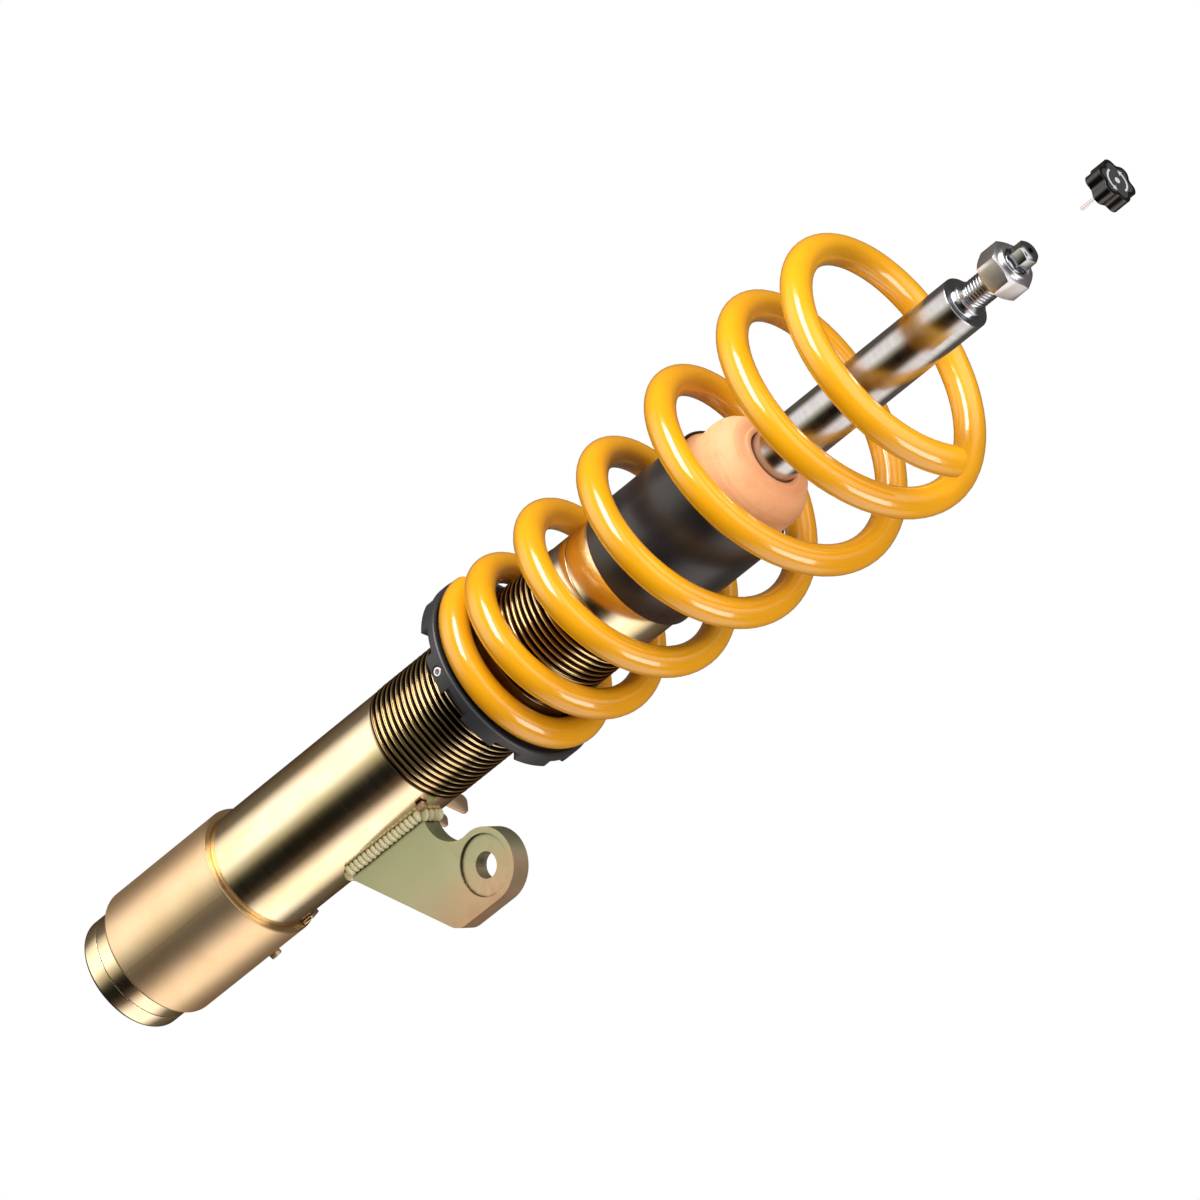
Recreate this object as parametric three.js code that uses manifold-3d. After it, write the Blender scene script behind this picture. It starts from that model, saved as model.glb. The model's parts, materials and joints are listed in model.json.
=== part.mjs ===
// Coilover strut: a threaded damper tube with an adjustable conical spring, dust boot and bump stop.
// Units are millimetres. +Z runs up the strut axis from the centre of the bottom face; +X points at
// the drop-link eye, and the visible side of the link bracket faces -Y.

import * as THREE from 'three';
import { mergeVertices } from 'three/addons/utils/BufferGeometryUtils.js';
import Module from 'manifold-3d';

const wasm = await Module();
wasm.setup();

// ---------------------------------------------------------------- driving dimensions

// Clearances
const REST_GAP = 0.3;            // between pieces that rest on, are welded to or are cut by each other
const CORNER_CLEAR = 0.02;       // keeps a chamfering cone off the hex's corners
const RUN_GAP = 0.35;            // radial, between a faceted shaft and the bore it turns or slides in

// Damper tube and knuckle end
const TUBE_R = 26;
const TUBE_WALL = 2.8;
const SPIGOT_STEP = 0.6;         // turned off the bottom end, which starts into the knuckle first
const SPIGOT_TOP = 23;
const CUP_HEIGHT = 9;
const CUP_PLUG = 5;              // how far the cup's plug stands up inside the tube
const CUP_EDGE = 2.4;
const TUBE_TOP = 298.2;

// Height thread
const THREAD_BOTTOM = 180;
const THREAD_TOP = 286;
const THREAD_PITCH = 3;
const THREAD_PROUD = 0.3;        // crests stand this far out of the tube
const THREAD_DEPTH = 1.1;

// Clamp sleeve
const SLEEVE_WALL = 2.6;
const SLEEVE_BOTTOM = 17.5;
const SLEEVE_LENGTH = 64.5;
const SLEEVE_LOW_EDGE = 2.2;
const SLEEVE_TOP_EDGE = 1.4;
const PIN_R = 2.5;
const PIN_RISE = 41.5;           // above the sleeve's lower edge
const PIN_STANDS = 2.2;          // proud of the sleeve
const PIN_ANGLE = 32;
const INDEX_TAB = { width: 7, thick: 1.6, height: 5, angle: 30 };

// Drop-link bracket
const PLATE_T = 9;
const PLATE_BOTTOM = 126;
const PLATE_FOOT = 4.8;          // the plate's square foot stands this far out of the tube
const EYE_OUT = 34;              // eye centre out from the tube's surface
const EYE_Z = 187;
const EYE_R = 15.1;
const EYE_HOLE_R = 5.4;
const EYE_SPOT_R = 12.6;
const EYE_SPOT_DEPTH = 1.2;
const HEEL_R = 9;                // rounded lower outer corner
const HEEL_DROP = 20.5;          // eye centre down to where the heel's round starts
const NOTCH_R = 14.6;            // concave notch between the tube and the eye
const NOTCH_DROP = 3;            // notch centre below the eye's centre
const WELD_LEG = 2.8;
const WELD_OVER = 2.24;          // height of the bead across the plate's top, then across its foot
const WELD_UNDER = 1.68;
const WELD_START = 1;            // side beads start this far above the foot

// Brake hose clip: two sheet fingers on a short web
const CLIP = { angle: 65, sheet: 1.4, low: 147, high: 160.6, reach: 16, fingerLow: 6, fingerHigh: 9 };
const CLIP_WELD = { width: 1.8, stands: 1.3, length: 10 };
const LUG = { angle: 340.5, width: 3.6, height: 4, stands: 2.4, low: 173 };

// Height-adjuster collar and spring hub
const COLLAR_OVERHANG = 0.2;     // past the outside of the bottom coil
const COLLAR_BOTTOM = 229.5;
const COLLAR_HEIGHT = 6.3;
const COLLAR_EDGE = 0.5;
const COLLAR_LIP = { rise: 1.3, width: 1.8, slope: 0.6 };   // round the outside of the spring seat
const SLOT_COUNT = 9;
const SLOT_WIDTH = 12.2;
const SLOT_HEIGHT = 4.2;
const SLOT_DEPTH = 4.6;
const SLOT_PHASE = 9;            // degrees from +X to the first spanner slot
const HUB_SEAT_DEPTH = 2.6;      // counterbore in the collar that holds the hub's foot
const HUB_WALL = 1;
const HUB_EDGE = 0.6;
const HUB_TOP_RISE = 14.2;       // above the collar's seat
const SCREW_R = 2;
const SCREW_LENGTH = 12;
const SCREW_SOCKET_R = 1.1;
const SCREW_SOCKET_DEPTH = 2.2;

// Coil spring
const WIRE_R = 6.2;
const COIL_HUB_GAP = 0.75;       // between the bottom turn and the hub
const COIL_FLARE = 16.6;         // growth of the coil's radius, bottom turn to top turn
const COIL_RISE = 225.2;         // wire centre, seat to the top end
const SEATED_GAP = 1.3;          // between the first and second turn where they come closest
const COIL_START_ANGLE = 203.66; // degrees from +X where the wire starts
const END_COIL_FROM = 5.62;      // the end coil is its own solid from this turn on
// [turn, share of the rise over the first turn, share of the rest of the rise, share of the flare]
const COIL_KNOTS = [
  [0, 0, 0, 0],
  [0.25, 0.05, 0, 0],
  [0.5, 0.2, 0, 0],
  [0.75, 0.54, 0, 0],
  [1, 1, 0, 0.02],
  [1.5, 1, 0.0756, 0.145],
  [2, 1, 0.1584, 0.277],
  [2.5, 1, 0.2539, 0.367],
  [3, 1, 0.3494, 0.458],
  [3.5, 1, 0.4504, 0.578],
  [4, 1, 0.5603, 0.735],
  [4.5, 1, 0.669, 0.88],
  [5, 1, 0.7778, 0.982],
  [5.5, 1, 0.8771, 1],
  [6, 1, 0.9574, 1],
  [6.417, 1, 1, 1],
];
const WIRE_CUT_GAP = 0.5;        // along the wire, between the spring and its end coil

// Dust boot and bump stop
const BOOT_CLEAR = 0.5;          // radial, between the boot's bore and the tube
const BOOT_WALL = 1;
const BOOT_EDGE = 0.4;
const BOOT_BOTTOM = 312.4;
const BOOT_LENGTH = 53.4;
const FOAM_WAIST = { inset: 3.9, rise: 4.6 };      // in from the boot's outside, up from its rim
const FOAM_BULGE = { inset: 3.2, rise: 9.5, top: 13.6 };
const FOAM_SLOPE = { inset: 4.85, drop: 4.4 };     // drop is down from the foam's top
const FOAM_SHOULDER = { inset: 8.5, drop: 1.7 };
const FOAM_TOP_RISE = 24.7;      // top of the foam above the boot's upper rim
const FOAM_LIP_WALL = 2.8;       // lip's wall round the rod
const FOAM_LIP_EDGE = 0.5;

// Piston rod and its top end
const ROD_R = 11;
const ROD_SHOULDER = 499;
const ROD_EDGE = 1;
const NECK_R = 7.5;
const NECK_HEIGHT = 3.8;
const TOP_THREAD_R = 5.75;
const NUT_AF = 19;
const NUT_HEIGHT = 10;
const NUT_RISE = 16.7;           // nut's underside above the rod's shoulder
const NUT_COLLAR_R = 7.6;
const NUT_COLLAR_HEIGHT = 1.8;
const NUT_CHAMFER = 0.58;        // slope of the cone that breaks the hex's corners
const NUT_ANGLE = 14.7;          // degrees from +X to a corner of the hex
const TIP_AF = 9;
const TIP_TOP_RISE = 36;         // rod's tip above its shoulder
const TIP_EDGE = 1.1;
const TIP_STEP = 0.2;            // run-out between the thread and the hex
const NECK_EDGE = 0.8;
const ROD_BORE_R = 2.3;
const ROD_MOUTH_R = 1.25;
const ROD_MOUTH_DEPTH = 5;
const PISTON_STUD_R = 6;

// Piston group, counted down from the rebound stop
const STOP_R = 15.5;
const STOP_HEIGHT = 15;
const STUD_TOP = 256.5;
const STUD_BOTTOM = 221.5;
const PISTON_R = 16.5;
const PISTON_HEIGHT = 18;
const BAND_GROOVE_R = 15.2;
const BAND_HEIGHT = 9.4;
const PISTON_PORTS = 6;
const PORT_R = 1.6;
const PORT_CIRCLE_R = 11;
const SHIM_R = 13;
const SHIM_STACK = 2.6;
const BACKING_R = 9.5;
const BACKING_HEIGHT = 3;
const PISTON_NUT_AF = 17;
const PISTON_NUT_HEIGHT = 6;

// Pressure tube, base valve and top closure
const INNER_R = 17.3;            // bore of the pressure tube
const INNER_WALL = 1.6;
const VALVE_DISC_HEIGHT = 5.4;
const VALVE_BOSS_HEIGHT = 11;
const VALVE_SCREW_R = 2.6;
const VALVE_HEAD_HEIGHT = 3;
const CAP_TOP = 320;
const CAP_ROOF = 6;
const CAP_SKIRT = 14;
const CAP_EDGE = 2;
const CAP_BORE_CLEAR = 1.2;      // radial, between the cap's skirt and the pressure tube
const GUIDE_HEIGHT = 16.4;
const GUIDE_REGISTER = 6;
const BUSH_WALL = 1.6;
const SEAL_HEIGHT = 7.6;
const WIPER_R = 14.2;
const WIPER_HEIGHT = 4.2;

// Damping adjuster
const NEEDLE_R = 1.8;
const NEEDLE_BOTTOM = 240;
const NEEDLE_SUNK = 7;           // needle's top below the rod's tip
const NEEDLE_SOCKET_R = 1.15;
const NEEDLE_SOCKET_DEPTH = 9;
const STEM_AF = 1.5;
const STEM_LIFT = 28;            // stem's lower end above the rod's tip, with the knob pulled out
const KNOB_LIFT = 40;
const KNOB_HEIGHT = 7.6;
const KNOB_R = 9.4;
const KNOB_LOBES = 6;
const KNOB_FLUTE = 1.25;
const KNOB_SOCKET_R = 1.15;
const KNOB_SOCKET_DEPTH = 4.5;
const KNOB_EDGE = 0.6;

// Facets
const SEG_BIG = 32;
const SEG_THREAD = 24;
const SEG_MID = 20;
const SEG_SMALL = 12;
const WIRE_SIDES = 8;
const STEPS_PER_TURN = 20;

// ---------------------------------------------------------------- derived places

const RAD = Math.PI / 180;
const spigotR = TUBE_R - SPIGOT_STEP;
const threadCrestR = TUBE_R + THREAD_PROUD;
const threadRootR = threadCrestR - THREAD_DEPTH;
const tubeBoreR = TUBE_R - TUBE_WALL;
const sleeveBoreR = TUBE_R + REST_GAP;
const sleeveR = sleeveBoreR + SLEEVE_WALL;
const sleeveTop = SLEEVE_BOTTOM + SLEEVE_LENGTH;
const footX = TUBE_R + PLATE_FOOT;
const eyeX = TUBE_R + EYE_OUT;
const clipReach = TUBE_R + CLIP.reach;
const collarBoreR = threadCrestR + RUN_GAP;
const seatZ = COLLAR_BOTTOM + COLLAR_HEIGHT;
const hubR = collarBoreR + HUB_WALL;
const coilBaseZ = seatZ + REST_GAP + WIRE_R;
const coilLowR = hubR + COIL_HUB_GAP + WIRE_R;
const coilHighR = coilLowR + COIL_FLARE;
const collarR = coilLowR + WIRE_R + COLLAR_OVERHANG;
const bootR = TUBE_R + BOOT_CLEAR + BOOT_WALL;
const foamLipR = ROD_R + FOAM_LIP_WALL;
const foamBulgeR = bootR - FOAM_BULGE.inset;
const bootTop = BOOT_BOTTOM + BOOT_LENGTH;
const foamTop = bootTop + FOAM_TOP_RISE;
const nutBottom = ROD_SHOULDER + NUT_RISE;
const rodTip = ROD_SHOULDER + TIP_TOP_RISE;
const needleTop = rodTip - NEEDLE_SUNK;
const knobBottom = rodTip + KNOB_LIFT;
const innerR = INNER_R + INNER_WALL;
const rodBoreClear = ROD_R + RUN_GAP;
const capBottom = TUBE_TOP + REST_GAP;
const capSkirtBottom = capBottom - CAP_SKIRT;
const stopTop = capSkirtBottom - GUIDE_REGISTER;
const stopBottom = stopTop - STOP_HEIGHT;
const tubeReach = TUBE_R + REST_GAP;

// ---------------------------------------------------------------- solid helpers

// Turns a closed three.js geometry into a manifold solid with its faces pointing out.
function solidOf(geometry) {
  const bare = geometry.index ? geometry.toNonIndexed() : geometry.clone();
  bare.deleteAttribute('normal');
  bare.deleteAttribute('uv');
  const merged = mergeVertices(bare, 1e-4);
  const vertProperties = new Float32Array(merged.attributes.position.array);
  const corners = merged.index.array;
  const kept = [];
  for (let i = 0; i < corners.length; i += 3) {
    const [a, b, c] = [corners[i], corners[i + 1], corners[i + 2]];
    if (a !== b && b !== c && c !== a) kept.push(a, b, c);
  }
  if (signedVolume(vertProperties, kept) < 0) kept.reverse();
  const triVerts = new Uint32Array(kept);
  return new wasm.Manifold(new wasm.Mesh({ numProp: 3, vertProperties, triVerts }));
}

function signedVolume(points, corners) {
  const [a, b, c] = [new THREE.Vector3(), new THREE.Vector3(), new THREE.Vector3()];
  let sum = 0;
  for (let i = 0; i < corners.length; i += 3) {
    a.fromArray(points, corners[i] * 3);
    b.fromArray(points, corners[i + 1] * 3);
    c.fromArray(points, corners[i + 2] * 3);
    sum += a.dot(b.cross(c));
  }
  return sum / 6;
}

function geometryOf(solid) {
  const mesh = solid.getMesh();
  const geometry = new THREE.BufferGeometry();
  geometry.setAttribute('position', new THREE.BufferAttribute(new Float32Array(mesh.vertProperties), 3));
  geometry.setIndex(new THREE.BufferAttribute(new Uint32Array(mesh.triVerts), 1));
  return geometry;
}

// A body of revolution about Z. The profile is a list of [radius, height] that closes on itself,
// or that starts and ends on the axis.
function revolve(profile, segments = SEG_BIG) {
  const outline = profile.map(([r, z]) => new THREE.Vector2(r, z));
  const onAxis = profile[0][0] === 0 && profile[profile.length - 1][0] === 0;
  if (!onAxis) outline.push(outline[0].clone());
  return solidOf(new THREE.LatheGeometry(outline, segments).rotateX(Math.PI / 2));
}

function ring(innerRadius, outerRadius, bottom, top, segments = SEG_BIG) {
  return revolve([[innerRadius, bottom], [outerRadius, bottom], [outerRadius, top], [innerRadius, top]],
    segments);
}

// A round bar along Z.
function bar(radius, bottom, top, segments = SEG_SMALL) {
  return revolve([[0, bottom], [radius, bottom], [radius, top], [0, top]], segments);
}

// A hexagonal bar along Z, with a corner at the given angle from +X.
function hexBar(acrossFlats, bottom, top, cornerAngle = 0) {
  const corner = acrossFlats / Math.sqrt(3);
  const shape = new THREE.Shape();
  for (let i = 0; i < 6; i += 1) {
    const angle = (cornerAngle + 60 * i) * RAD;
    const [x, y] = [corner * Math.cos(angle), corner * Math.sin(angle)];
    if (i === 0) shape.moveTo(x, y);
    else shape.lineTo(x, y);
  }
  shape.closePath();
  return extrude(shape, bottom, top);
}

function extrude(shape, bottom, top, curveSegments = 12) {
  const geometry = new THREE.ExtrudeGeometry(shape, { depth: top - bottom, bevelEnabled: false, curveSegments });
  return solidOf(geometry.translate(0, 0, bottom));
}

function block(x0, x1, y0, y1, z0, z1) {
  const geometry = new THREE.BoxGeometry(x1 - x0, y1 - y0, z1 - z0);
  return solidOf(geometry.translate((x0 + x1) / 2, (y0 + y1) / 2, (z0 + z1) / 2));
}

// Turns a solid built along Z so that it lies along +X, with its old bottom nearest the axis.
function layAlongX(solid) {
  return solidOf(geometryOf(solid).rotateY(Math.PI / 2));
}

function turned(solid, degrees) {
  return solidOf(geometryOf(solid).rotateZ(degrees * RAD));
}

// Quarter-round profile points about a centre, from one angle to another, in degrees.
function arcPoints(centreR, centreZ, radius, from, to, steps = 3) {
  const points = [];
  for (let i = 0; i <= steps; i += 1) {
    const angle = (from + ((to - from) * i) / steps) * RAD;
    points.push([centreR + radius * Math.cos(angle), centreZ + radius * Math.sin(angle)]);
  }
  return points;
}

// ---------------------------------------------------------------- assembly

const coilover = new THREE.Group();

const finishes = {
  goldPlate: [0xd9c88f, 0.25, 1],
  goldSatin: [0xdcb878, 0.45, 1],
  goldPlateDull: [0xb9ad86, 0.5, 1],
  weld: [0xcfc79a, 0.5, 1],
  blackComposite: [0x2a2b2f, 0.55, 0],
  blackAnodised: [0x1c1714, 0.25, 1],
  amberCoat: [0xf0a818, 0.2, 0],
  bootPlastic: [0x26262a, 0.4, 0],
  foam: [0xf7bf8e, 0.7, 0],
  chrome: [0xd8dadd, 0.06, 1],
  zinc: [0xb9bcc2, 0.3, 1],
  steel: [0x9a9da2, 0.35, 1],
  darkSteel: [0x55585c, 0.4, 1],
  bronze: [0x9a6b38, 0.5, 1],
  alloy: [0xb4b7ba, 0.45, 1],
  rubber: [0x1d1d1f, 0.8, 0],
  knobPlastic: [0x141416, 0.25, 0],
};

function addPart(name, solid, finish, parent = coilover) {
  const [color, roughness, metalness] = finishes[finish];
  const material = new THREE.MeshStandardMaterial({ color, roughness, metalness });
  const mesh = new THREE.Mesh(geometryOf(solid), material);
  mesh.name = name;
  parent.add(mesh);
  return mesh;
}

// A group turned about the strut axis, for pieces that are built facing +X.
function facing(degrees) {
  const group = new THREE.Group();
  group.rotation.z = degrees * RAD;
  coilover.add(group);
  return group;
}

// ---------------------------------------------------------------- tube and knuckle end

function strutTube() {
  const profile = [
    [tubeBoreR, CUP_HEIGHT + REST_GAP],
    [spigotR, CUP_HEIGHT + REST_GAP],
    [spigotR, SPIGOT_TOP],
    [TUBE_R, SPIGOT_TOP + (TUBE_R - spigotR)],
    [TUBE_R, THREAD_BOTTOM],
  ];
  const threads = Math.floor((THREAD_TOP - THREAD_BOTTOM) / THREAD_PITCH);
  for (let i = 0; i < threads; i += 1) {
    const z = THREAD_BOTTOM + i * THREAD_PITCH;
    profile.push([threadRootR, z + THREAD_PITCH * 0.35]);
    profile.push([threadCrestR, z + THREAD_PITCH * 0.85]);
  }
  profile.push([TUBE_R, THREAD_BOTTOM + threads * THREAD_PITCH + THREAD_PITCH * 0.5]);
  profile.push([TUBE_R, TUBE_TOP]);
  profile.push([tubeBoreR, TUBE_TOP]);
  return revolve(profile, SEG_THREAD);
}

function bottomCup() {
  const plugR = tubeBoreR - REST_GAP;
  return revolve([
    [0, 0],
    ...arcPoints(spigotR - CUP_EDGE, CUP_EDGE, CUP_EDGE, -90, 0),
    [spigotR, CUP_HEIGHT],
    [plugR, CUP_HEIGHT],
    [plugR, CUP_HEIGHT + CUP_PLUG],
    [0, CUP_HEIGHT + CUP_PLUG],
  ]);
}

function clampSleeve() {
  const body = revolve([
    [sleeveBoreR, SLEEVE_BOTTOM],
    ...arcPoints(sleeveR - SLEEVE_LOW_EDGE, SLEEVE_BOTTOM + SLEEVE_LOW_EDGE, SLEEVE_LOW_EDGE, -90, 0),
    ...arcPoints(sleeveR - SLEEVE_TOP_EDGE, sleeveTop - SLEEVE_TOP_EDGE, SLEEVE_TOP_EDGE, 0, 90),
    [sleeveBoreR, sleeveTop],
  ]);
  const hole = layAlongX(bar(PIN_R + REST_GAP, sleeveBoreR - 2, sleeveR + 2, SEG_MID));
  const placed = hole.translate(0, 0, SLEEVE_BOTTOM + PIN_RISE);
  return body.subtract(turned(placed, PIN_ANGLE));
}

function addKnuckleEnd() {
  addPart('strut_tube', strutTube(), 'goldPlate');
  addPart('bottom_cup', bottomCup(), 'goldPlate');
  addPart('clamp_sleeve', clampSleeve(), 'goldSatin');
  const pinGroup = facing(PIN_ANGLE);
  const pin = layAlongX(bar(PIN_R, sleeveBoreR + REST_GAP, sleeveR + PIN_STANDS, SEG_MID));
  addPart('sleeve_pin', pin, 'zinc', pinGroup).position.z = SLEEVE_BOTTOM + PIN_RISE;
  const tab = block(tubeReach, tubeReach + INDEX_TAB.thick, -INDEX_TAB.width / 2, INDEX_TAB.width / 2,
    0, INDEX_TAB.height);
  addPart('index_tab', tab, 'goldPlate', facing(INDEX_TAB.angle)).position.z = sleeveTop + REST_GAP;
}

// ---------------------------------------------------------------- drop-link bracket

const notchTopZ = EYE_Z - NOTCH_DROP;
const plateTop = notchTopZ - NOTCH_R;

function bracketOutline() {
  const shape = new THREE.Shape();
  const eyeOuterX = eyeX + EYE_R;
  const heelZ = EYE_Z - HEEL_DROP;
  // The sloping lower edge runs from the foot to the point where it touches the heel's round.
  const heelCentre = new THREE.Vector2(eyeOuterX - HEEL_R, heelZ);
  const foot = new THREE.Vector2(footX, PLATE_BOTTOM);
  const reach = heelCentre.clone().sub(foot);
  const slope = reach.angle() - Math.asin(HEEL_R / reach.length());
  const touch = slope - Math.PI / 2;
  shape.moveTo(0, PLATE_BOTTOM);
  shape.lineTo(footX, PLATE_BOTTOM);
  shape.absarc(heelCentre.x, heelCentre.y, HEEL_R, touch, 0, false);
  shape.absarc(eyeX, EYE_Z, EYE_R, 0, Math.PI + Math.asin(NOTCH_DROP / EYE_R), false);
  // The notch's centre lies level with the end of the eye's round, one notch radius towards the tube.
  const notchX = eyeX - Math.sqrt(EYE_R * EYE_R - NOTCH_DROP * NOTCH_DROP) - NOTCH_R;
  shape.absarc(notchX, notchTopZ, NOTCH_R, 0, -Math.PI / 2, true);
  shape.lineTo(0, plateTop);
  shape.closePath();
  return shape;
}

function linkBracket() {
  // The outline is drawn in X and Z; the extrusion runs along Y once it is stood up.
  const plate = extrude(bracketOutline(), -PLATE_T / 2, PLATE_T / 2, 10);
  const upright = solidOf(geometryOf(plate).rotateX(Math.PI / 2));
  const tubeCut = bar(tubeReach, PLATE_BOTTOM - 1, EYE_Z, SEG_BIG);
  const across = (radius, y0, y1, sides) => solidOf(
    geometryOf(bar(radius, y0, y1, sides)).rotateX(-Math.PI / 2)).translate(eyeX, 0, EYE_Z);
  const face = PLATE_T / 2;
  return upright
    .subtract(tubeCut)
    .subtract(across(EYE_HOLE_R, -face - 1, face + 1, SEG_MID))
    .subtract(across(EYE_SPOT_R, face - EYE_SPOT_DEPTH, face + 1, SEG_BIG))
    .subtract(across(EYE_SPOT_R, -face - 1, -face + EYE_SPOT_DEPTH, SEG_BIG));
}

// A fillet weld of triangular section along Z, in the corner between the plate's side and the tube.
function plateWeld(side) {
  const plateY = side * (PLATE_T / 2 + REST_GAP);
  const tubeX = (y) => Math.sqrt(tubeReach * tubeReach - y * y) + REST_GAP / 2;
  const farY = side * (PLATE_T / 2 + REST_GAP + WELD_LEG);
  const shape = new THREE.Shape();
  shape.moveTo(tubeX(plateY), plateY);
  shape.lineTo(tubeX(plateY) + WELD_LEG, plateY);
  shape.lineTo(tubeX(farY), farY);
  shape.closePath();
  return extrude(shape, PLATE_BOTTOM + WELD_START, plateTop);
}

// A short weld across the plate's thickness, above or below it.
function endWeld(bottom, top) {
  const inner = tubeReach + REST_GAP / 2;
  const half = PLATE_T / 2;
  return block(inner, inner + WELD_LEG, -half, half, bottom, top);
}

function addLinkBracket() {
  addPart('link_bracket', linkBracket(), 'goldPlateDull');
  addPart('bracket_weld_front', plateWeld(-1), 'weld');
  addPart('bracket_weld_back', plateWeld(1), 'weld');
  addPart('bracket_weld_top', endWeld(plateTop + REST_GAP, plateTop + REST_GAP + WELD_OVER), 'weld');
  const under = PLATE_BOTTOM - REST_GAP;
  addPart('bracket_weld_bottom', endWeld(under - WELD_UNDER, under), 'weld');
}

// ---------------------------------------------------------------- hose clip and locating lug

// A flat finger along +X with rounded outer corners.
function clipFinger(width, bottom) {
  const half = width / 2;
  const corner = half * 0.6;
  const start = tubeReach;
  const shape = new THREE.Shape();
  shape.moveTo(start, -half);
  shape.lineTo(clipReach - corner, -half);
  shape.absarc(clipReach - corner, -half + corner, corner, -Math.PI / 2, 0, false);
  shape.absarc(clipReach - corner, half - corner, corner, 0, Math.PI / 2, false);
  shape.lineTo(start, half);
  shape.closePath();
  return extrude(shape, bottom, bottom + CLIP.sheet, 4);
}

function hoseClip() {
  const half = CLIP.fingerHigh / 2;
  const web = block(tubeReach, tubeReach + CLIP.sheet, -half, half, CLIP.low, CLIP.high);
  return web
    .add(clipFinger(CLIP.fingerLow, CLIP.low))
    .add(clipFinger(CLIP.fingerHigh, CLIP.high - CLIP.sheet));
}

function addTubeFittings() {
  const clipGroup = facing(CLIP.angle);
  addPart('hose_clip', hoseClip(), 'goldPlateDull', clipGroup);
  const half = CLIP.fingerHigh / 2;
  const weldFoot = tubeReach + REST_GAP;
  const middle = (CLIP.low + CLIP.high) / 2;
  for (const [name, side] of [['hose_clip_weld_left', 1], ['hose_clip_weld_right', -1]]) {
    const y0 = side * (half + REST_GAP);
    const y1 = side * (half + REST_GAP + CLIP_WELD.width);
    const bead = block(weldFoot, weldFoot + CLIP_WELD.stands, Math.min(y0, y1), Math.max(y0, y1),
      middle - CLIP_WELD.length / 2, middle + CLIP_WELD.length / 2);
    addPart(name, bead, 'weld', clipGroup);
  }
  const lug = block(tubeReach, tubeReach + LUG.stands, -LUG.width / 2, LUG.width / 2, 0, LUG.height);
  addPart('locating_lug', lug, 'goldPlateDull', facing(LUG.angle)).position.z = LUG.low;
}

// ---------------------------------------------------------------- adjuster collar and hub

const screwAngle = SLOT_PHASE + (360 / SLOT_COUNT) * 6.5;
const screwZ = COLLAR_BOTTOM + COLLAR_HEIGHT / 2;

function adjusterCollar() {
  const edge = COLLAR_EDGE;
  const lipTop = seatZ + COLLAR_LIP.rise;
  let body = revolve([
    [collarBoreR, COLLAR_BOTTOM],
    [collarR - edge, COLLAR_BOTTOM],
    [collarR, COLLAR_BOTTOM + edge],
    [collarR, lipTop - edge],
    [collarR - edge, lipTop],
    [collarR - COLLAR_LIP.width, lipTop],
    [collarR - COLLAR_LIP.width - COLLAR_LIP.slope, seatZ],
    [hubR + REST_GAP, seatZ],
    [hubR + REST_GAP, seatZ - HUB_SEAT_DEPTH],
    [collarBoreR, seatZ - HUB_SEAT_DEPTH],
  ]);
  for (let i = 0; i < SLOT_COUNT; i += 1) {
    const slot = block(collarR - SLOT_DEPTH, collarR + 2, -SLOT_WIDTH / 2, SLOT_WIDTH / 2,
      COLLAR_BOTTOM - 1, COLLAR_BOTTOM + SLOT_HEIGHT);
    body = body.subtract(turned(slot, SLOT_PHASE + (360 / SLOT_COUNT) * i));
  }
  const hole = layAlongX(bar(SCREW_R + REST_GAP, collarR - SCREW_LENGTH - 1, collarR + 2));
  return body.subtract(turned(hole.translate(0, 0, screwZ), screwAngle));
}

function lockScrew() {
  const inner = collarR - SCREW_LENGTH;
  const outer = collarR - REST_GAP;
  const shank = layAlongX(bar(SCREW_R, inner, outer));
  const socket = solidOf(geometryOf(hexBar(SCREW_SOCKET_R * 2, outer - SCREW_SOCKET_DEPTH, outer + 1))
    .rotateY(Math.PI / 2));
  return shank.subtract(socket);
}

function springHub() {
  const foot = seatZ - HUB_SEAT_DEPTH + REST_GAP;
  const top = seatZ + HUB_TOP_RISE;
  return revolve([
    [collarBoreR, foot],
    [hubR, foot],
    [hubR, top - HUB_EDGE],
    [hubR - HUB_EDGE, top],
    [collarBoreR, top],
  ]);
}

function addCollar() {
  addPart('adjuster_collar', adjusterCollar(), 'blackComposite');
  addPart('collar_lock_screw', lockScrew(), 'zinc', facing(screwAngle)).position.z = screwZ;
  addPart('spring_hub', springHub(), 'blackAnodised');
}

// ---------------------------------------------------------------- coil spring

// A smooth curve through [turn, value] knots, with slopes from the neighbouring knots.
function through(knots, turn) {
  const slope = (i) => {
    const [before, after] = [knots[Math.max(i - 1, 0)], knots[Math.min(i + 1, knots.length - 1)]];
    return (after[1] - before[1]) / (after[0] - before[0]);
  };
  let i = 0;
  while (i < knots.length - 2 && turn > knots[i + 1][0]) i += 1;
  const [[t0, v0], [t1, v1]] = [knots[i], knots[i + 1]];
  const span = t1 - t0;
  const u = Math.min(Math.max((turn - t0) / span, 0), 1);
  const [u2, u3] = [u * u, u * u * u];
  return v0 * (2 * u3 - 3 * u2 + 1) + v1 * (3 * u2 - 2 * u3)
    + span * (slope(i) * (u3 - 2 * u2 + u) + slope(i + 1) * (u3 - u2));
}

const firstRise = 2 * WIRE_R + SEATED_GAP;
const coilTurns = COIL_KNOTS[COIL_KNOTS.length - 1][0];
const heightKnots = COIL_KNOTS.map(([turn, first, rest]) => (
  [turn, coilBaseZ + firstRise * first + (COIL_RISE - firstRise) * rest]));
const radiusKnots = COIL_KNOTS.map(([turn, , , flare]) => [turn, coilLowR + COIL_FLARE * flare]);

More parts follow.
